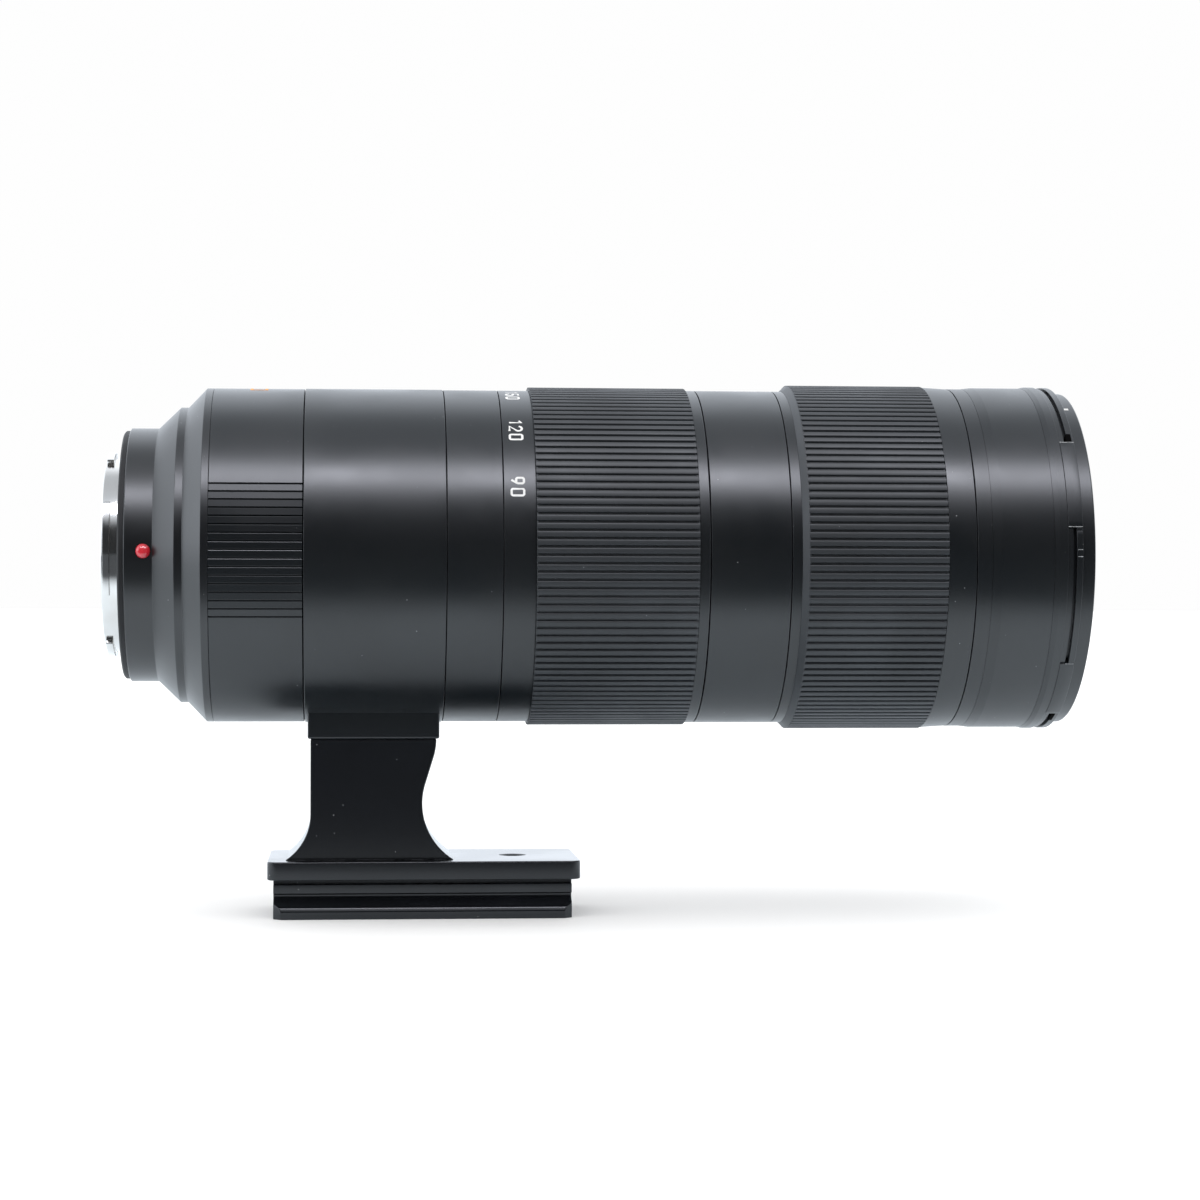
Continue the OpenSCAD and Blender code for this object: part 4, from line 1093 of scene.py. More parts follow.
class Marks:
    """Painted marks that lie a few hundredths proud of the barrel."""

    STROKE = 0.155
    HALF = 0.24
    TALL = 0.4225
    FLAT = 0.1
    WIDE = 0.86
    NARROW = 0.53
    SUNK = 0.05
    PROUD = 0.03
    ROUND = 0.02

    @staticmethod
    def wrap(piece: Piece, x: float, r: float, phi: float, size: float) -> None:
        """Lay a flat drawing on the barrel with its top towards the front.

        Args:
            piece: Drawing in the XY plane, one unit tall, thickness along Z.
            x: Station of the drawing's middle in millimetres.
            r: Radius of the barrel.
            phi: Angle of the drawing's middle.
            size: Height of the drawing in millimetres.
        """
        for vert in piece.data.vertices:
            u, v, w = vert.co
            turn = phi - math.degrees(u * size / r)
            vert.co = at(x + v * size, r + w * size, turn)
        Bench.edit(piece)
        Bench.close()

    @classmethod
    def dash(cls, name: str, start: float, end: float, width: float, r: float, phi: float) -> Piece:
        """Model a short painted line along the axis.

        Args:
            name: Name of the piece.
            start: Station of its rear end.
            end: Station of its front end.
            width: Width round the barrel.
            r: Radius of the barrel.
            phi: Angle of its middle.

        Returns:
            The painted line.
        """
        low, high = r - cls.SUNK, r + cls.PROUD
        outline = rounded([(start, low, 0), (start, high, cls.ROUND), (end, high, cls.ROUND), (end, low, 0)])
        half = math.degrees(width / 2.0 / r)
        dash = Bench.sector(name, outline, phi - half, phi + half)
        Bench.smooth(dash)
        return dash

    @staticmethod
    def loop(wide: float, low: float, high: float, radius: float) -> list[Spot]:
        """Rounded upright loop, closed on its first point.

        Args:
            wide: Half of its width.
            low: Lower height.
            high: Upper height.
            radius: Corner radius.

        Returns:
            Points of the loop.
        """
        corners = [(-wide, low, radius), (wide, low, radius), (wide, high, radius), (-wide, high, radius)]
        spots = rounded(corners, parts=6, keep=0.0)
        return [*spots, spots[0]]

    @classmethod
    def figure(cls, digit: str) -> list[list[Spot]]:
        """List the strokes of a figure one unit tall, round its middle.

        Args:
            digit: One figure.

        Returns:
            Strokes as lists of points.
        """
        w, t = cls.HALF, cls.TALL
        top = arc(0.0, t - w, w, math.radians(170), math.radians(-26), 14)
        bowl = arc(0.0, w - t, w, math.radians(110), math.radians(-178), 16)
        return {
            "0": [cls.loop(w, -t, t, 0.12)],
            "1": [[(-0.17, 0.24), (0.04, t), (0.04, -t)]],
            "2": [[*top, (-w, -t), (w + 0.02, -t)]],
            "5": [[(w - 0.02, t), (-w + 0.04, t), (-w + 0.01, 0.04), *bowl]],
            "8": [cls.loop(w - 0.02, 0.02, t, 0.19), cls.loop(w, -t, 0.02, 0.21)],
            "9": [cls.loop(w - 0.03, -0.1, t, 0.13), [(w - 0.03, 0.1), (w - 0.06, -0.06), (-0.05, -t)]],
        }[digit]

    @classmethod
    def number(cls, text: str, x: float, r: float, phi: float, size: float) -> Piece:
        """Draw a plain number as ribbons and lay it on the barrel.

        Args:
            text: The number.
            x: Station of its middle in millimetres.
            r: Radius of the barrel.
            phi: Angle of its middle.
            size: Height of the figures.

        Returns:
            The painted number.
        """
        drawing = bpy.data.curves.new(f"scale_{text}", "CURVE")
        drawing.dimensions = "3D"
        drawing.bevel_depth = cls.STROKE / 2.0
        drawing.bevel_resolution = 1
        drawing.use_fill_caps = True
        widths = [cls.NARROW if digit == "1" else cls.WIDE for digit in text]
        left = -sum(widths) / 2.0
        for digit, width in zip(text, widths):
            for stroke in cls.figure(digit):
                closed = len(stroke) > 3 and stroke[0] == stroke[-1]
                spots = stroke[:-1] if closed else stroke
                line = drawing.splines.new("POLY")
                line.points.add(len(spots) - 1)
                line.use_cyclic_u = closed
                for point, (u, v) in zip(line.points, spots):
                    point.co = (left + width / 2.0 + u, v, 0.0, 1.0)
            left += width
        number = bpy.data.objects.new(drawing.name, drawing)
        bpy.context.scene.collection.objects.link(number)
        Bench.pick(number)
        bpy.ops.object.convert(target="MESH")
        number = bpy.context.object
        Bench.place(number, Matrix.Diagonal((1.0, 1.0, cls.FLAT, 1.0)))
        cls.wrap(number, x, r, phi, size)
        Bench.smooth(number, 60.0)
        return number


@dataclass
class Collar(Assembly):
    """Tripod collar with the boss for its foot and the pad of its clamp."""

    body: Body = Body.COLLAR
    start: float = 44.05
    end: float = 78.45
    radius: float = 42.2
    bore: float = 39.9
    edge: float = 0.16
    boss_start: float = 44.8
    boss_end: float = 77.6
    boss_half: float = 15.0
    boss_low: float = -45.9
    pad_x: float = 61.35
    pad: float = 8.5
    pad_top: float = 44.6

    def build(self) -> None:
        """Turn the ring, set the boss and the pad on it and dress it."""
        ring = Bench.ring("collar_ring", (self.start, self.end), self.bore, self.radius, self.edge)
        Bench.join(ring, self.boss(), self.clamp_pad())
        self.deliver(ring, self.looks.collar, "tripod_collar")

    def boss(self) -> Piece:
        """Extrude the boss and hollow it to the ring.

        Returns:
            The boss, which starts inside the ring.
        """
        half, low = self.boss_half, self.boss_low
        top = -math.sqrt((self.bore + 0.2) ** 2 - half ** 2)
        section = [(-half, low), (half, low), (half, top), (-half, top)]
        boss = Bench.bar("boss", section, self.boss_start, self.boss_end)
        Bench.bevel(boss, 0.5, 3, 60.0)
        room = self.bore + 0.4
        Bench.combine(boss, Bench.rod("bore", [(self.start - 1, room), (self.end + 1, room)], 96))
        Bench.soften(boss)
        return boss

    def clamp_pad(self) -> Piece:
        """Turn the round pad under the knob.

        Returns:
            The pad on the far side.
        """
        r, top = self.pad, self.pad_top
        outline = [(self.bore + 0.5, r), (top - 0.5, r), (top - 0.15, r - 0.15), (top, r - 0.5)]
        pad = Bench.rod("pad", outline, 64)
        Bench.place(pad, aim(self.pad_x, 90.0, "Z"))
        Bench.smooth(pad)
        return pad


@dataclass
class Foot(Assembly):
    """Foot of the collar, with a curved stem, a plate and a dovetail rail, and its two cap screws."""

    body: Body = Body.COLLAR
    top: float = Collar.boss_low
    stem_half: float = 14.0
    stem_rear: float = 45.5
    stem_front: float = 76.9
    rear_flare: float = 13.7
    rear_turn: float = 57.0
    front_flare: float = 16.5
    top_flare: float = 16.0
    lean: float = 14.8
    neck_x: float = 73.4
    neck_z: float = -62.1
    plate_rear: float = 34.9
    plate_front: float = 112.8
    plate_half: float = 19.0
    plate_corner: float = 2.7
    plate_high: float = -76.2
    plate_low: float = -80.8
    rail_rear: float = 36.4
    rail_front: float = 110.7
    rail_low: float = -90.5
    rail_side: tuple[Spot, ...] = (
        (15.2, -80.3), (15.2, -82.0), (16.4, -82.0), (16.4, -84.3), (14.8, -84.5), (14.8, -85.3), (18.55, -87.6),
        (19.0, -88.5), (19.0, -90.5),
    )
    rail_clip: float = 1.9
    socket_x: float = 96.7
    socket: float = 2.7
    screw_x: Spot = (52.0, 66.2)
    screw_seat: float = -52.0
    screw_end: float = -41.8
    screw_head: tuple[Spot, ...] = (
        (-5.0, 3.7), (-4.8, 4.05), (-4.4, 4.22), (-0.1, 4.22), (0.0, 4.1), (0.0, 2.45),
    )
    hexagon: float = 2.2
    well: float = 4.6
    well_mouth: float = 5.2
    screw_hole: float = 2.6

    def build(self) -> None:
        """Build and dress the foot and its screws."""
        self.deliver(self.foot(), self.looks.foot, "foot")
        self.deliver(self.cap_screws(), self.looks.dark_steel, "foot_screws", slot=Slot.STEEL)

    def stem_outline(self) -> list[Spot]:
        """List the side outline of the stem with its flares.

        Returns:
            Stations and heights in millimetres.
        """
        rear, front, top = self.rear_flare, self.front_flare, self.top_flare
        rear_turn, lean = math.radians(self.rear_turn), math.radians(self.lean)
        front_turn = math.asin((self.neck_z - self.plate_high) / front)
        rear_z = self.plate_high + rear * math.sin(rear_turn)
        return [
            (self.stem_rear, self.top),
            *arc(self.stem_rear - rear, rear_z, rear, 0.0, -rear_turn, 12),
            *arc(self.neck_x + front, self.neck_z, front, math.pi + front_turn, math.pi - lean, 16),
            *arc(self.stem_front - top, self.top, top, -lean, 0.0, 4),
        ]

    def rail(self) -> Piece:
        """Extrude the dovetail's cross-section and clip its corners.

        Returns:
            The dovetail rail.
        """
        section = [*self.rail_side, *[(-y, z) for y, z in reversed(self.rail_side)]]
        rail = Bench.bar("rail", section, self.rail_rear, self.rail_front)
        inner, outer = self.plate_half - self.rail_clip - 1.0, self.plate_half + 1.0
        for x, sx in ((self.rail_rear, -1.0), (self.rail_front, 1.0)):
            for sy in (-1.0, 1.0):
                back = x - sx * (self.rail_clip + 1.0)
                corner = [(x + sx, sy * inner), (x + sx, sy * outer), (back, sy * outer)]
                outline = [Vector((u, v, self.rail_low - 1.0)) * MM for u, v in corner]
                Bench.combine(rail, Bench.prism("wedge", outline, Vector((0, 0, 12.0 * MM))))
        Bench.bevel(rail, 0.2, 2, 20.0)
        return rail

    def plate(self) -> Piece:
        """Extrude the plate with its round corners.

        Returns:
            The plate.
        """
        half, r = self.plate_half, self.plate_corner
        outline = rounded([
            (self.plate_rear, -half, r), (self.plate_front, -half, r), (self.plate_front, half, r),
            (self.plate_rear, half, r),
        ], parts=8, keep=0.0)
        rise = Vector((0, 0, (self.plate_high - self.plate_low) * MM))
        plate = Bench.prism("plate", [Vector((x, y, self.plate_low)) * MM for x, y in outline], rise)
        Bench.bevel(plate, 0.35, 2, 50.0)
        return plate

    def foot(self) -> Piece:
        """Unite stem, plate and rail, and drill the screw wells and the socket.

        Returns:
            The foot.
        """
        outline = [Vector((x, -self.stem_half, z)) * MM for x, z in self.stem_outline()]
        foot = Bench.prism("collar_foot", outline, Vector((0, 2.0 * self.stem_half * MM, 0)))
        Bench.bevel(foot, 0.65, 2, 50.0)
        Bench.combine(foot, self.plate(), Merge.UNITE)
        Bench.combine(foot, self.rail(), Merge.UNITE)
        low, high, seat = self.rail_low, self.plate_high, self.screw_seat
        well = [
            (low - 1.0, self.well_mouth), (low + 0.5, self.well), (seat, self.well), (seat, self.screw_hole),
            (-44.0, self.screw_hole),
        ]
        hole = [
            (low - 1.0, self.socket + 1.6), (low + 0.6, self.socket), (high - 0.8, self.socket),
            (high + 1.0, self.socket + 1.8),
        ]
        for x, drill in ((self.screw_x[0], well), (self.screw_x[1], well), (self.socket_x, hole)):
            tool = Bench.rod("drill", drill, 48)
            Bench.place(tool, aim(x, -90.0, "Y"))
            Bench.combine(foot, tool)
        Bench.soften(foot)
        return foot

    def cap_screws(self) -> Piece:
        """Turn one cap screw with a hexagon socket and copy it to the second well.

        Returns:
            Both screws of the foot.
        """
        seat, (first, second) = self.screw_seat, self.screw_x
        outline = [(seat + x, r) for x, r in self.screw_head]
        screw = Bench.rod("foot_cap_screws", [*outline, (self.screw_end, outline[-1][1])], 48)
        hexagon = [at(seat - 6.0, self.hexagon, 60.0 * i) for i in range(6)]
        Bench.combine(screw, Bench.prism("hexagon", hexagon, Vector((3.5 * MM, 0, 0))))
        Bench.bevel(screw, 0.06, 1)
        Bench.place(screw, aim(first, -90.0, "Y"))
        Bench.pick(screw)
        bpy.ops.object.duplicate(linked=False)
        other = bpy.context.object
        Bench.place(other, Matrix.Translation(((second - first) * MM, 0, 0)))
        Bench.join(screw, other)
        Bench.smooth(screw)
        return screw


@dataclass
class ClampKnob(Assembly):
    """Ribbed knob that clamps the collar, with its stud."""

    body: Body = Body.CLAMP
    x: float = Collar.pad_x
    low: float = Collar.pad_top + 0.3
    top: float = 52.9
    stud: float = 2.5
    stud_end: float = 41.6
    rim: float = 7.3
    ribs: int = 20
    rib: tuple[Spot, ...] = ((-0.75, 7.0), (-0.55, 7.6), (-0.28, 7.95), (0.28, 7.95), (0.55, 7.6), (0.75, 7.0))

    def build(self) -> None:
        """Turn the knob, copy one rounded rib round its rim and dress it."""
        low, top = self.low, self.top
        knob = Bench.rod("clamp_knob_head", [
            (self.stud_end, self.stud), (low, self.stud), (low, self.rim - 0.4), (low + 0.3, self.rim),
            (top - 1.7, self.rim), (top - 1.0, 7.0), (top - 0.35, 6.5), (top, 5.7), (top - 0.25, 4.6),
            (top - 0.4, 3.0),
        ], 64)
        rib = Bench.bar("rib", self.rib, low + 0.25, top - 1.25)
        Bench.bevel(rib, 0.2, 2, 50.0)
        Bench.copy_round(rib, self.ribs)
        Bench.join(knob, rib)
        Bench.place(knob, aim(self.x, 90.0, "Z"))
        Bench.smooth(knob, 40.0)
        self.deliver(knob, self.looks.collar, "clamp_knob")


@dataclass
class Grip:
    """Rubber sleeve with rounded ribs along the axis, sizes in millimetres."""

    name: str
    start: float
    end: float
    radius: float
    ribs: int
    nose: float = 0.0
    nose_radius: float = 0.0
    depth: float = 0.58
    wall: float = 1.8
    lip: float = 0.12
    section: tuple[Spot, ...] = (
        (0.23, -0.2), (0.245, 0.0), (0.265, 0.16), (0.315, 0.5), (0.33, 0.59), (0.36, 0.655), (0.42, 0.692),
        (0.48, 0.7), (0.915, 0.7), (0.95, 0.66), (0.967, 0.58), (1.02, 0.1), (1.035, -0.2),
    )

    def build(self) -> Piece:
        """Turn the sleeve, model one rib and copy it round.

        Returns:
            The ribbed grip.
        """
        seat, floor = self.radius - self.wall, self.radius - self.depth
        lip = floor + self.lip
        rear: list[Corner] = [
            (self.start, lip, 0.25), (self.start + 0.5, lip, 0.1), (self.start + 0.6, floor, 0.05),
        ]
        if self.nose:
            tip = self.start + self.nose
            rear = [
                (self.start, self.nose_radius, 0.08), (tip - 0.1, self.radius - 0.05, 0.15),
                (tip + 0.3, floor, 0.05),
            ]
        sleeve = Bench.lathe(self.name, rounded([
            (self.start, seat, 0.0), *rear, (self.end - 0.6, floor, 0.05), (self.end - 0.5, lip, 0.1),
            (self.end, lip, 0.25), (self.end, seat, 0.0),
        ], parts=2), steps=self.ribs)
        rib = self.rib()
        Bench.copy_round(rib, self.ribs)
        Bench.join(sleeve, rib)
        Bench.smooth(sleeve, 50.0)
        return sleeve

    def rib(self) -> Piece:
        """Extrude one rib, sloped on its upper side, and round its ends.

        Returns:
            The rib at the near side.
        """
        pitch, floor = 360.0 / self.ribs, self.radius - self.depth
        start = self.start + max(0.05, self.nose - 0.2)
        outline = [at(start, floor + h * self.depth / 0.7, -pitch * f) for f, h in self.section]
        rib = Bench.prism("rib", outline, Vector(((self.end - start - 0.05) * MM, 0, 0)))
        Bench.edit(rib)
        shape = bmesh.from_edit_mesh(rib.data)
        for edge in shape.edges:
            edge.select = any(abs(face.normal.x) > 0.9 for face in edge.link_faces)
        shape.select_flush_mode()
        bmesh.update_edit_mesh(rib.data)
        bpy.ops.mesh.bevel(offset=0.32 * MM, segments=2, affect="EDGES", clamp_overlap=True)
        Bench.close()
        return rib


@dataclass
class IndexBarrel(Assembly):
    """Fixed section with the zoom index."""

    start: float = 78.65
    end: float = 92.15
    radius: float = 42.1
    bore: float = 39.8
    line_x: Spot = (87.15, 91.35)
    line_width: float = 0.6

    def build(self) -> None:
        """Build and dress the section and its white index line."""
        ring = Bench.ring("index_section", (self.start, self.end), self.bore, self.radius)
        self.deliver(ring, self.looks.anodised, "index_barrel")
        line = Marks.dash("zoom_index", *self.line_x, self.line_width, self.radius, 90.0)
        self.deliver(line, self.looks.white_paint)


@dataclass
class ZoomRing(Assembly):
    """Zoom ring with its scale numbers and rubber grip."""

    body: Body = Body.ZOOM
    start: float = 92.35
    grip_start: float = 100.2
    grip_end: float = 139.85
    end: float = 142.45
    radius: float = 42.1
    edge_radius: float = 42.4
    grip_radius: float = 42.97
    ribs: int = 133
    bore: float = 39.9
    scale: tuple[tuple[str, float], ...] = (
        ("90", 22.8), ("120", 46.4), ("150", 72.6), ("200", 97.8), ("280", 121.0),
    )
    figure_x: float = 95.7
    figure_size: float = 3.6

    def build(self) -> None:
        """Build and dress the ring, the grip and every number."""
        seat = self.grip_radius - Grip.wall
        ring = Bench.turned("zoom_sleeve", [
            (self.start, self.bore, 0.0), (self.start, self.radius, EDGE), (self.grip_start, self.radius, 0.12),
            (self.grip_start, seat, 0.0), (self.grip_end, seat, 0.0), (self.grip_end, self.edge_radius, 0.15),
            (self.end, self.edge_radius, 0.25), (self.end, self.bore, 0.0),
        ])
        self.deliver(ring, self.looks.anodised, "zoom_ring")
        grip = Grip("zoom_rubber", self.grip_start, self.grip_end, self.grip_radius, self.ribs).build()
        self.deliver(grip, self.looks.rubber, "zoom_grip", slot=Slot.RUBBER)
        for text, phi in self.scale:
            number = Marks.number(text, self.figure_x, self.radius, phi, self.figure_size)
            self.deliver(number, self.looks.white_paint)


@dataclass
class MidBarrel(Assembly):
    """Fixed section between the two rings."""

    start: float = 142.65
    end: float = 162.3
    radius: float = 42.4
    bore: float = 39.8

    def build(self) -> None:
        """Build and dress the section."""
        ring = Bench.ring("mid_section", (self.start, self.end), self.bore, self.radius)
        self.deliver(ring, self.looks.anodised, "mid_barrel")


@dataclass
class FocusRing(Assembly):
    """Focus ring with its rubber grip."""

    body: Body = Body.FOCUS
    start: float = 162.5
    grip_start: float = 164.9
    grip_nose: float = 1.75
    grip_end: float = 200.8
    end: float = 207.7
    low: float = 42.4
    radius: float = 43.78
    front: float = 43.36
    grip_radius: float = 43.97
    ribs: int = 137
    bore: float = 39.9

    def build(self) -> None:
        """Build and dress the ring and the grip."""
        seat = self.grip_radius - Grip.wall
        ring = Bench.turned("focus_sleeve", [
            (self.start, self.bore, 0.0), (self.start, self.low, EDGE), (self.grip_start, self.low, 0.05),
            (self.grip_start, seat, 0.0), (self.grip_end, seat, 0.0), (self.grip_end, self.radius, 0.15),
            (self.end, self.front, 0.15), (self.end, self.bore, 0.0),
        ])
        self.deliver(ring, self.looks.anodised, "focus_ring")
        grip = Grip(
            "focus_rubber", self.grip_start, self.grip_end, self.grip_radius, self.ribs, self.grip_nose,
            self.low + 0.02,
        ).build()
        self.deliver(grip, self.looks.rubber, "focus_grip", slot=Slot.RUBBER)


@dataclass
class FrontBarrel(Assembly):
    """Front section with the hood bayonet and the filter thread, and the retainer of the front glass."""

    start: float = 207.9
    end: float = 237.4
    radius: float = 43.7
    collar: float = 43.4
    line_x: float = 211.6
    hood_x: float = 226.9
    hood: float = 44.0
    rim_x: float = 234.0
    rim: float = 42.35
    bore: float = 40.6
    thread_x: float = 231.9
    thread_pitch: float = 0.75
    thread_depth: float = 0.32
    cell: float = 39.4
    cell_x: float = 219.0
    tube: float = 39.8
    pocket_x: float = 230.3
    shelf: float = 43.6
    channel_x: float = 231.6
    channel_end: float = 232.35
    channel: float = 42.3
    land: float = 43.9
    tab_spans: tuple[Spot, ...] = ((9.1, 39.8), (-64.2, -37.4), (-152.5, -118.2), (100.0, 161.5))
    detent_x: float = 232.42
    detent_spans: tuple[Spot, ...] = ((1.9, 7.8), (-0.4, 1.7), (-178.1, -172.2), (-180.4, -178.3))
    catch_x: float = 232.1
    catches: tuple[tuple[float, tuple[Spot, ...]], ...] = (
        (233.45, ((40.2, 43.6), (-117.8, -114.5))), (232.95, ((-70.6, -64.4), (93.6, 99.8))),
    )
    # Station where the painted highlights on the detent edges start.
    highlight_x: float = 232.5
    mark_x: Spot = (234.5, 235.75)
    mark_width: float = 1.0
    mark_phi: float = 61.3
    retainer_x: float = 226.5
    retainer_bore: float = 36.8
    retainer_land: float = 0.7
    ridges: int = 8

    def build(self) -> None:
        """Build and dress the section, its hood bayonet, its mark and the retainer."""
        self.deliver(self.section(), self.looks.anodised, "front_barrel")
        self.hood_bayonet()
        mark = Marks.dash("hood_mark", *self.mark_x, self.mark_width, self.rim, self.mark_phi)
        self.deliver(mark, self.looks.white_paint)
        self.deliver(self.retainer(), self.looks.inner, "front_retainer", slot=Slot.INNER_METAL)

    def section(self) -> Piece:
        """Turn the section with its lines, the hood channel and the thread.

        Returns:
            The front section.
        """
        thread: list[Corner] = []
        x, crest, root = self.end - 0.6, self.bore, self.bore + self.thread_depth
        while x > self.thread_x + 0.8:
            thread += [(x, crest, 0.0), (x - 0.3, root, 0.05), (x - 0.42, root, 0.05)]
            x -= self.thread_pitch
        step = self.rim_x - 0.12
        return Bench.turned("front_section", [
            (self.start, self.tube, 0.0), (self.start, self.collar, EDGE),
            *self.fine_line(self.line_x, self.collar), (self.line_x + 2.5, self.radius, 0.8),
            *self.fine_line(self.hood_x, self.radius), (self.hood_x + 1.3, self.hood, 0.4),
            (self.pocket_x - 0.1, self.hood, 0.08), (self.pocket_x, self.shelf, 0.05),
            (self.channel_x - 0.06, self.shelf, 0.06), (self.channel_x, self.channel, 0.06),
            (self.channel_end, self.channel, 0.05), (self.channel_end, self.land, 0.08), (step, self.land, 0.12),
            (step, self.rim, 0.05), (self.end, self.rim, 0.35), (self.end, self.bore + 0.3, 0.15),
            (self.end - 0.35, self.bore, 0.0), *thread, (self.thread_x + 0.3, self.bore, 0.0),
            (self.thread_x, self.cell, 0.0), (self.cell_x, self.cell, 0.0), (self.cell_x, self.tube, 0.0),
        ])

    @staticmethod
    def fine_line(x: float, r: float) -> list[Corner]:
        """Corners of a hair-wide turned line at a station and a radius."""
        half, floor = 0.04, r - 0.15
        return [(x - half, r, 0.0), (x - half, floor, 0.0), (x + half, floor, 0.0), (x + half, r, 0.0)]

    def blocks(self, name: str, spans: Sequence[Spot], along: Spot, top: float, edge: float) -> Piece:
        """Model bevelled blocks round the hood channel.

        Args:
            name: Name of the piece.
            spans: First and last angle of each block.
            along: Rear and front station.
            top: Radius of their outer face.
            edge: Width of the bevels.

        Returns:
            The blocks in one mesh.
        """
        low, (rear, front) = self.channel - 0.25, along
        made = []
        for start, end in spans:
            made.append(Bench.sector(name, [(rear, low), (rear, top), (front, top), (front, low)], start, end))
            Bench.bevel(made[-1], edge, 2, 60.0)
            Bench.smooth(made[-1], 50.0)
        Bench.join(*made)
        return made[0]

    def hood_bayonet(self) -> None:
        """Build and dress the tabs and detents of the hood bayonet, with dark blocks of painted shade at its
        catches and light strips of painted highlight along the tab and detent edges.
        """
        front, land = self.rim_x, self.land
        tabs = self.blocks("hood_tabs", self.tab_spans, (self.pocket_x - 0.02, front - 0.1), self.hood, 0.1)
        self.deliver(tabs, self.looks.anodised)
        pads = self.blocks("hood_detents", self.detent_spans, (self.detent_x, front - 0.14), land + 0.06, 0.05)
        self.deliver(pads, self.looks.anodised)
        # Dark blocks at the catches are painted shade where the bayonet's notches and gaps would be.
        dark = [
            self.blocks("hood_catches", spans, (self.catch_x, x), land + 0.03, 0.02) for x, spans in self.catches
        ]
        Bench.join(*dark)
        self.deliver(dark[0], self.looks.notch_shade, slot=Slot.PLASTIC)
        # Thin light strips on the tab and detent edges are painted highlights, standing in for light caught by the
        # walls.
        tab_top, pad_top = self.hood - 0.02, land + 0.05
        wear_and_highlight = [Marks.dash("painted_edge_highlights", *edge) for edge in (
            (self.pocket_x, front - 0.15, 0.17, tab_top, 39.75),
            (self.pocket_x, front - 0.15, 0.17, tab_top, 9.15),
            (self.channel_x, front - 0.3, 0.1, tab_top, -37.45),
            (self.highlight_x, front - 0.18, 0.1, pad_top, 1.8),
            (self.highlight_x, front - 0.18, 0.15, pad_top, -0.45),
        )]
        Bench.join(*wear_and_highlight)
        self.deliver(wear_and_highlight[0], self.looks.wear_and_highlight)

    def retainer(self) -> Piece:
        """Turn the stepped ring in front of the glass with its fine light-trap ridges.

        Returns:
            The retainer.
        """
        start, bore = self.retainer_x + self.retainer_land, self.retainer_bore
        run, rise = (self.thread_x - start) / self.ridges, (self.cell - 0.9 - bore) / self.ridges
        spots: list[Spot] = [(self.retainer_x, self.cell), (self.retainer_x, bore)]
        for i in range(self.ridges):
            x, r = start + run * i, bore + rise * i
            spots += [(x, r), (x + 0.62 * run, r + 0.1), (x + run, r + rise)]
        spots += [(self.thread_x, self.cell - 0.75), (self.thread_x, self.cell)]
        ring = Bench.lathe("glass_retainer", spots)
        Bench.smooth(ring)
        return ring


@dataclass
class FrontLens(Assembly):
    """Front glass with two domed faces and a flat land round each."""

    radius: float = 38.0
    clear: float = 35.8
    rear: float = 222.5
    front: float = 226.5
    rear_bulge: float = 1.6
    front_bulge: float = 4.6
    chamfer: float = 0.2
    rings: int = 24

    def build(self) -> None:
        """Turn the glass and dress it."""
        rear, front, r, cut = self.rear, self.front, self.radius, self.chamfer
        lens = Bench.lathe("front_lens", [
            *self.dome(rear, -self.rear_bulge), (rear, r - cut), (rear + cut, r), (front - cut, r),
            (front, r - cut), *reversed(self.dome(front, self.front_bulge)),
        ], closed=False)
        Bench.smooth(lens)
        self.deliver(lens, self.looks.front_glass, "front_glass_1", slot=Slot.GLASS)

    def dome(self, x: float, bulge: float) -> list[Spot]:
        """List the points of a domed face from the axis to its land.

        Args:
            x: Station of the land.
            bulge: How far the face stands out, below zero towards the rear.

        Returns:
            Stations and radii in millimetres.
        """
        ball = (self.clear ** 2 + bulge ** 2) / (2.0 * abs(bulge))
        side = math.copysign(1.0, bulge)
        radii = [self.clear * i / self.rings for i in range(self.rings + 1)]
        return [(x + bulge - side * (ball - math.sqrt(ball * ball - r ** 2)), r) for r in radii]


@dataclass
class InnerWorks:
    """CAD nodes that keep their own shape, each given its finish."""

    looks: Looks

    def dress(self) -> None:
        """Give each node its material and leave its mesh alone."""
        looks = self.looks
        blades = [f"iris_blade_{i}" for i in range(1, 10)]
        for look, names in (
            (looks.inner, (
                "rear_baffle", "main_tube", "front_cell", "iris_cover", "rear_cell", "variator_cell",
                "compensator_cell", "focus_cell",
            )),
            (looks.inner_glass, (
                "front_glass_2", "front_glass_3", "rear_glass_1", "rear_glass_2", "variator_glass_1",
                "variator_glass_2", "compensator_glass", "focus_glass",
            )),
            (looks.plastic, ("contact_block", "iris_housing")),
            (looks.grey, ("guide_tube", "cam_tube", "iris_drive_ring")),
            (looks.steel, ("focus_rods", "focus_motor", "zoom_key", "lead_screw")),
            (looks.pale, ("brake_shoe", "variator_followers", "compensator_followers")),
            (looks.copper, ("iris_coils",)),
            (looks.board, ("circuit_board",)),
            (looks.dark_steel, blades),
        ):
            for name in names:
                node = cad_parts[name]
                node.data.materials.clear()
                node.data.materials.append(look)
                LOG.info("%s keeps its shape with %s", name, look.name)


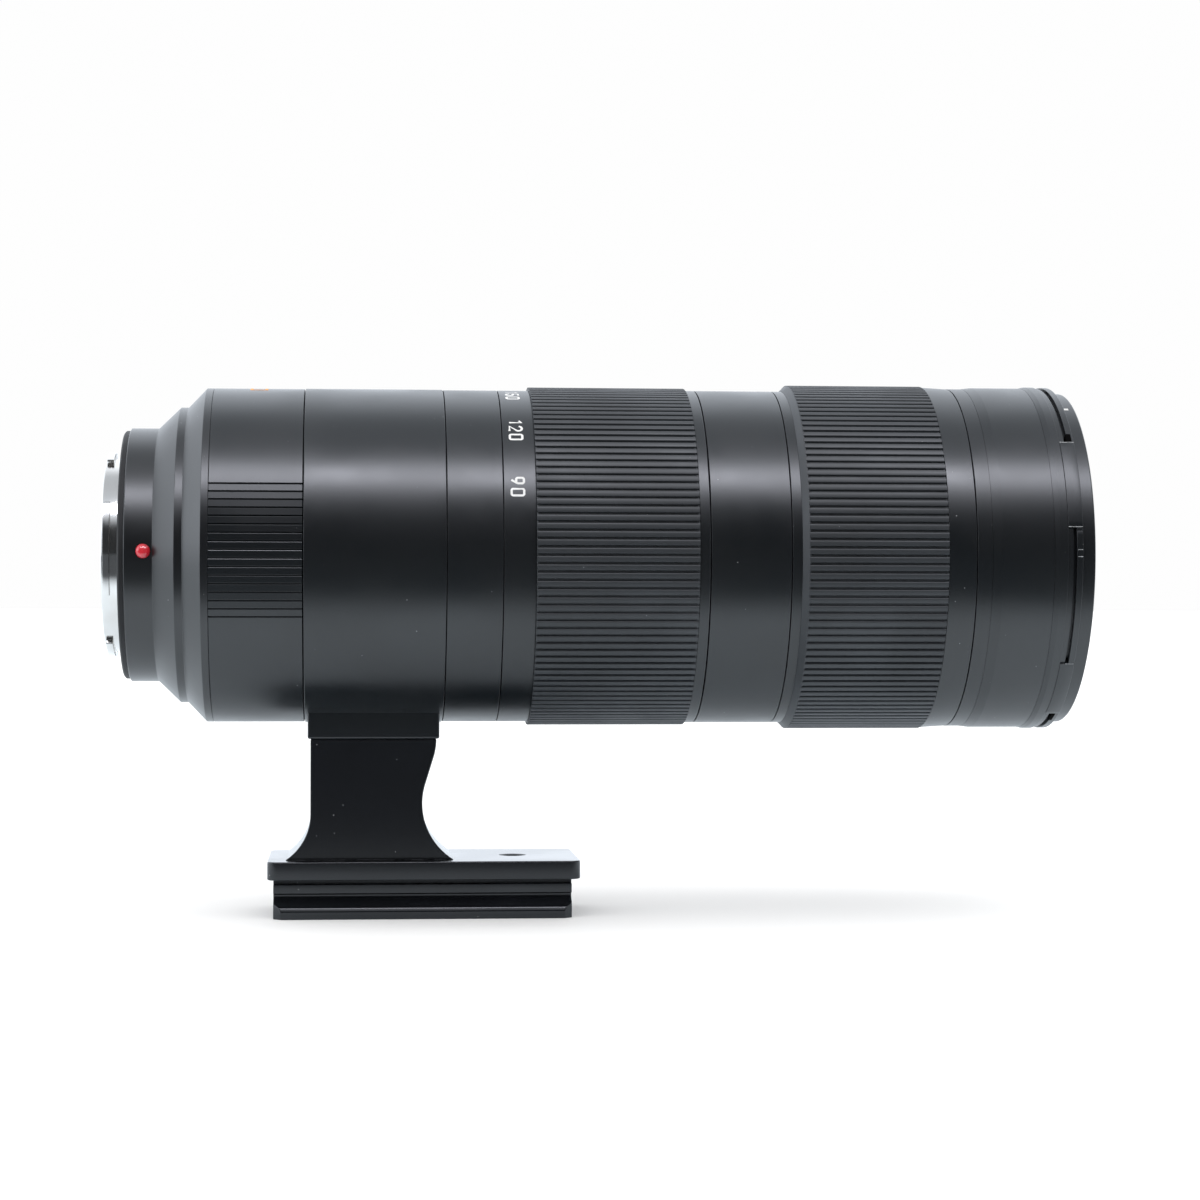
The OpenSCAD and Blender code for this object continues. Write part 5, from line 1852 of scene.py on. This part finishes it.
@dataclass
class Studio:
    """Pale floor, soft light and the camera at the photograph's place, in metres."""

    floor_at: Corner = (0.12, 0.0, -0.0905)
    floor_radius: float = 36.0
    floor_colour: RGB = (0.92, 0.92, 0.92)
    floor_glow: float = 0.1
    floor_rough: float = 0.7
    floor_specular: float = 0.2
    # Floor colours for rays that are not camera rays: painted shade near the camera, pale further off, and where
    # the one turns into the other.
    near_painted_shade: RGB = (0.045, 0.05, 0.055)
    far_bounce: RGB = (0.84, 0.92, 0.99)
    painted_shade_edge: Spot = (-0.21, -0.105)
    key_at: Corner = (0.12, -0.62, 0.86)
    key_aim: Corner = (0.12, 0.0, 0.0)
    key_size: Spot = (1.5, 0.2)
    key_power: float = 8.5
    key_colour: RGB = (0.97, 0.985, 1.09)
    overhead_level: float = 0.6
    overhead_spread: float = 60.0
    overhead_lean: Spot = (22.0, -8.0)
    side_level: float = 0.75
    left_level: float = 2.15
    back_level: float = 1.5
    top_level: float = 0.65
    front_level: float = 0.03
    fill_level: float = 1.27
    backdrop: float = 0.99
    cool: RGB = (0.935, 1.0, 1.085)
    camera_at: Corner = (0.05502, -0.76017, -0.01216)
    camera_aim: Corner = (0.119, 0.0, -0.01114)
    focal: float = 89.45
    sensor: float = 36.0
    roll: float = 0.117

    def build(self) -> None:
        """Set up floor, light, surroundings and camera."""
        self.floor()
        self.key_strip()
        self.overhead()
        self.surroundings()
        self.camera()
        bpy.context.scene.view_settings.view_transform = "Standard"

    @staticmethod
    def hang(data: bpy.types.Light | bpy.types.Camera) -> Piece:
        """Put a light or a camera into the scene.

        Args:
            data: The light or camera.

        Returns:
            Its object, with the same name.
        """
        thing = bpy.data.objects.new(data.name, data)
        bpy.context.scene.collection.objects.link(thing)
        return thing

    @staticmethod
    def facing(place: Corner, target: Corner) -> Quaternion:
        """Turn that makes a light or a camera at one place face another."""
        return (Vector(target) - Vector(place)).to_track_quat("-Z", "Y")

    def floor(self) -> None:
        """Lay a wide pale floor disc under the foot, dark near the camera for what the lens mirrors: a painted
        shade that the camera sees only in the lens's reflections.
        """
        Bench.clear()
        bpy.ops.mesh.primitive_circle_add(
            vertices=96, radius=self.floor_radius, fill_type="NGON", location=self.floor_at
        )
        disc = bpy.context.object
        disc.name = "studio_floor"
        bpy.ops.object.transform_apply(location=True, rotation=True, scale=True)
        look, graph, sockets = material("pale_floor")
        # Painted shade: for every ray but camera rays the floor turns dark towards the camera, so the lens mirrors
        # a dark front.
        across = graph.add("ShaderNodeSeparateXYZ", s0=graph.place()).outputs[1]
        near = graph.ramp(across, *self.painted_shade_edge)
        mirrored_floor = graph.mix(near, (*self.near_painted_shade, 1.0), (*self.far_bounce, 1.0))
        seen = graph.add("ShaderNodeLightPath").outputs["Is Camera Ray"]
        graph.feed(sockets["Base Color"], graph.mix(seen, mirrored_floor, (*self.floor_colour, 1.0)))
        graph.feed(sockets["Emission Color"], graph.mix(seen, (0.0, 0.0, 0.0, 1.0), (1.0, 1.0, 1.0, 1.0)))
        sockets["Emission Strength"].default_value = self.floor_glow
        sockets["Roughness"].default_value = self.floor_rough
        sockets["Specular IOR Level"].default_value = self.floor_specular
        disc.data.materials.append(look)

    def key_strip(self) -> None:
        """Hang the long soft light that draws the highlight along the barrel."""
        light = bpy.data.lights.new("key_strip", "AREA")
        light.shape = "RECTANGLE"
        light.size, light.size_y = self.key_size
        light.energy = self.key_power
        light.color = self.key_colour
        strip = self.hang(light)
        strip.visible_diffuse = False
        strip.location = self.key_at
        strip.rotation_euler = self.facing(self.key_at, self.key_aim).to_euler()

    def overhead(self) -> None:
        """Light the floor evenly from above without showing in the gloss."""
        light = bpy.data.lights.new("overhead_fill", "SUN")
        light.energy = self.overhead_level
        light.angle = math.radians(self.overhead_spread)
        sun = self.hang(light)
        sun.rotation_euler = (*map(math.radians, self.overhead_lean), 0.0)
        sun.visible_glossy = False

    def surroundings(self) -> None:
        """Make a white studio that is dark only around the camera."""
        world = bpy.data.worlds.new("white_studio")
        bpy.context.scene.world = world
        world.use_nodes = True
        graph = Graph(world.node_tree)
        back = world.node_tree.nodes["Background"].inputs
        ray = graph.add("ShaderNodeTexCoord").outputs["Generated"]
        along, away, rise = graph.add("ShaderNodeSeparateXYZ", s0=ray).outputs
        level = graph.ramp(away, 0.1, 0.7, (self.side_level, self.back_level))
        level = graph.blend(graph.ramp(along, -0.55, -0.9), level, self.left_level)
        level = graph.blend(graph.ramp(rise, 0.85, 1.0), level, self.top_level)
        low = graph.ramp(rise, 0.5, 0.75, (1.0, 0.0))
        front = graph.math("MULTIPLY", graph.ramp(away, -0.35, -0.7), low)
        level = graph.blend(front, level, self.front_level)
        path = graph.add("ShaderNodeLightPath").outputs
        level = graph.blend(path["Is Glossy Ray"], self.fill_level, level)
        level = graph.blend(path["Is Camera Ray"], level, self.backdrop)
        tint = graph.mix(path["Is Glossy Ray"], (1.0, 1.0, 1.0, 1.0), (*self.cool, 1.0))
        graph.feed(back["Color"], tint)
        graph.feed(back["Strength"], level)

    def camera(self) -> None:
        """Put the camera where the photograph was taken."""
        data = bpy.data.cameras.new("photo_camera")
        data.lens = self.focal
        data.sensor_width = self.sensor
        camera = self.hang(data)
        camera.location = self.camera_at
        roll = Quaternion((0.0, 0.0, 1.0), math.radians(self.roll))
        camera.rotation_euler = (self.facing(self.camera_at, self.camera_aim) @ roll).to_euler()
        bpy.context.scene.camera = camera


def main() -> None:
    """Build every sub-assembly, dress the inner nodes, light the scene and note the sizes."""
    logging.basicConfig(level=logging.INFO, format="%(message)s")
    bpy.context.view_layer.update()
    looks = Looks()
    for assembly in (
        BayonetEnd, RearCover, RearBarrel, Collar, Foot, ClampKnob, IndexBarrel, ZoomRing, MidBarrel, FocusRing,
        FrontBarrel, FrontLens,
    ):
        assembly(looks).build()
    InnerWorks(looks).dress()
    Studio().build()
    Bench.clear()


if __name__ == "__main__":
    main()
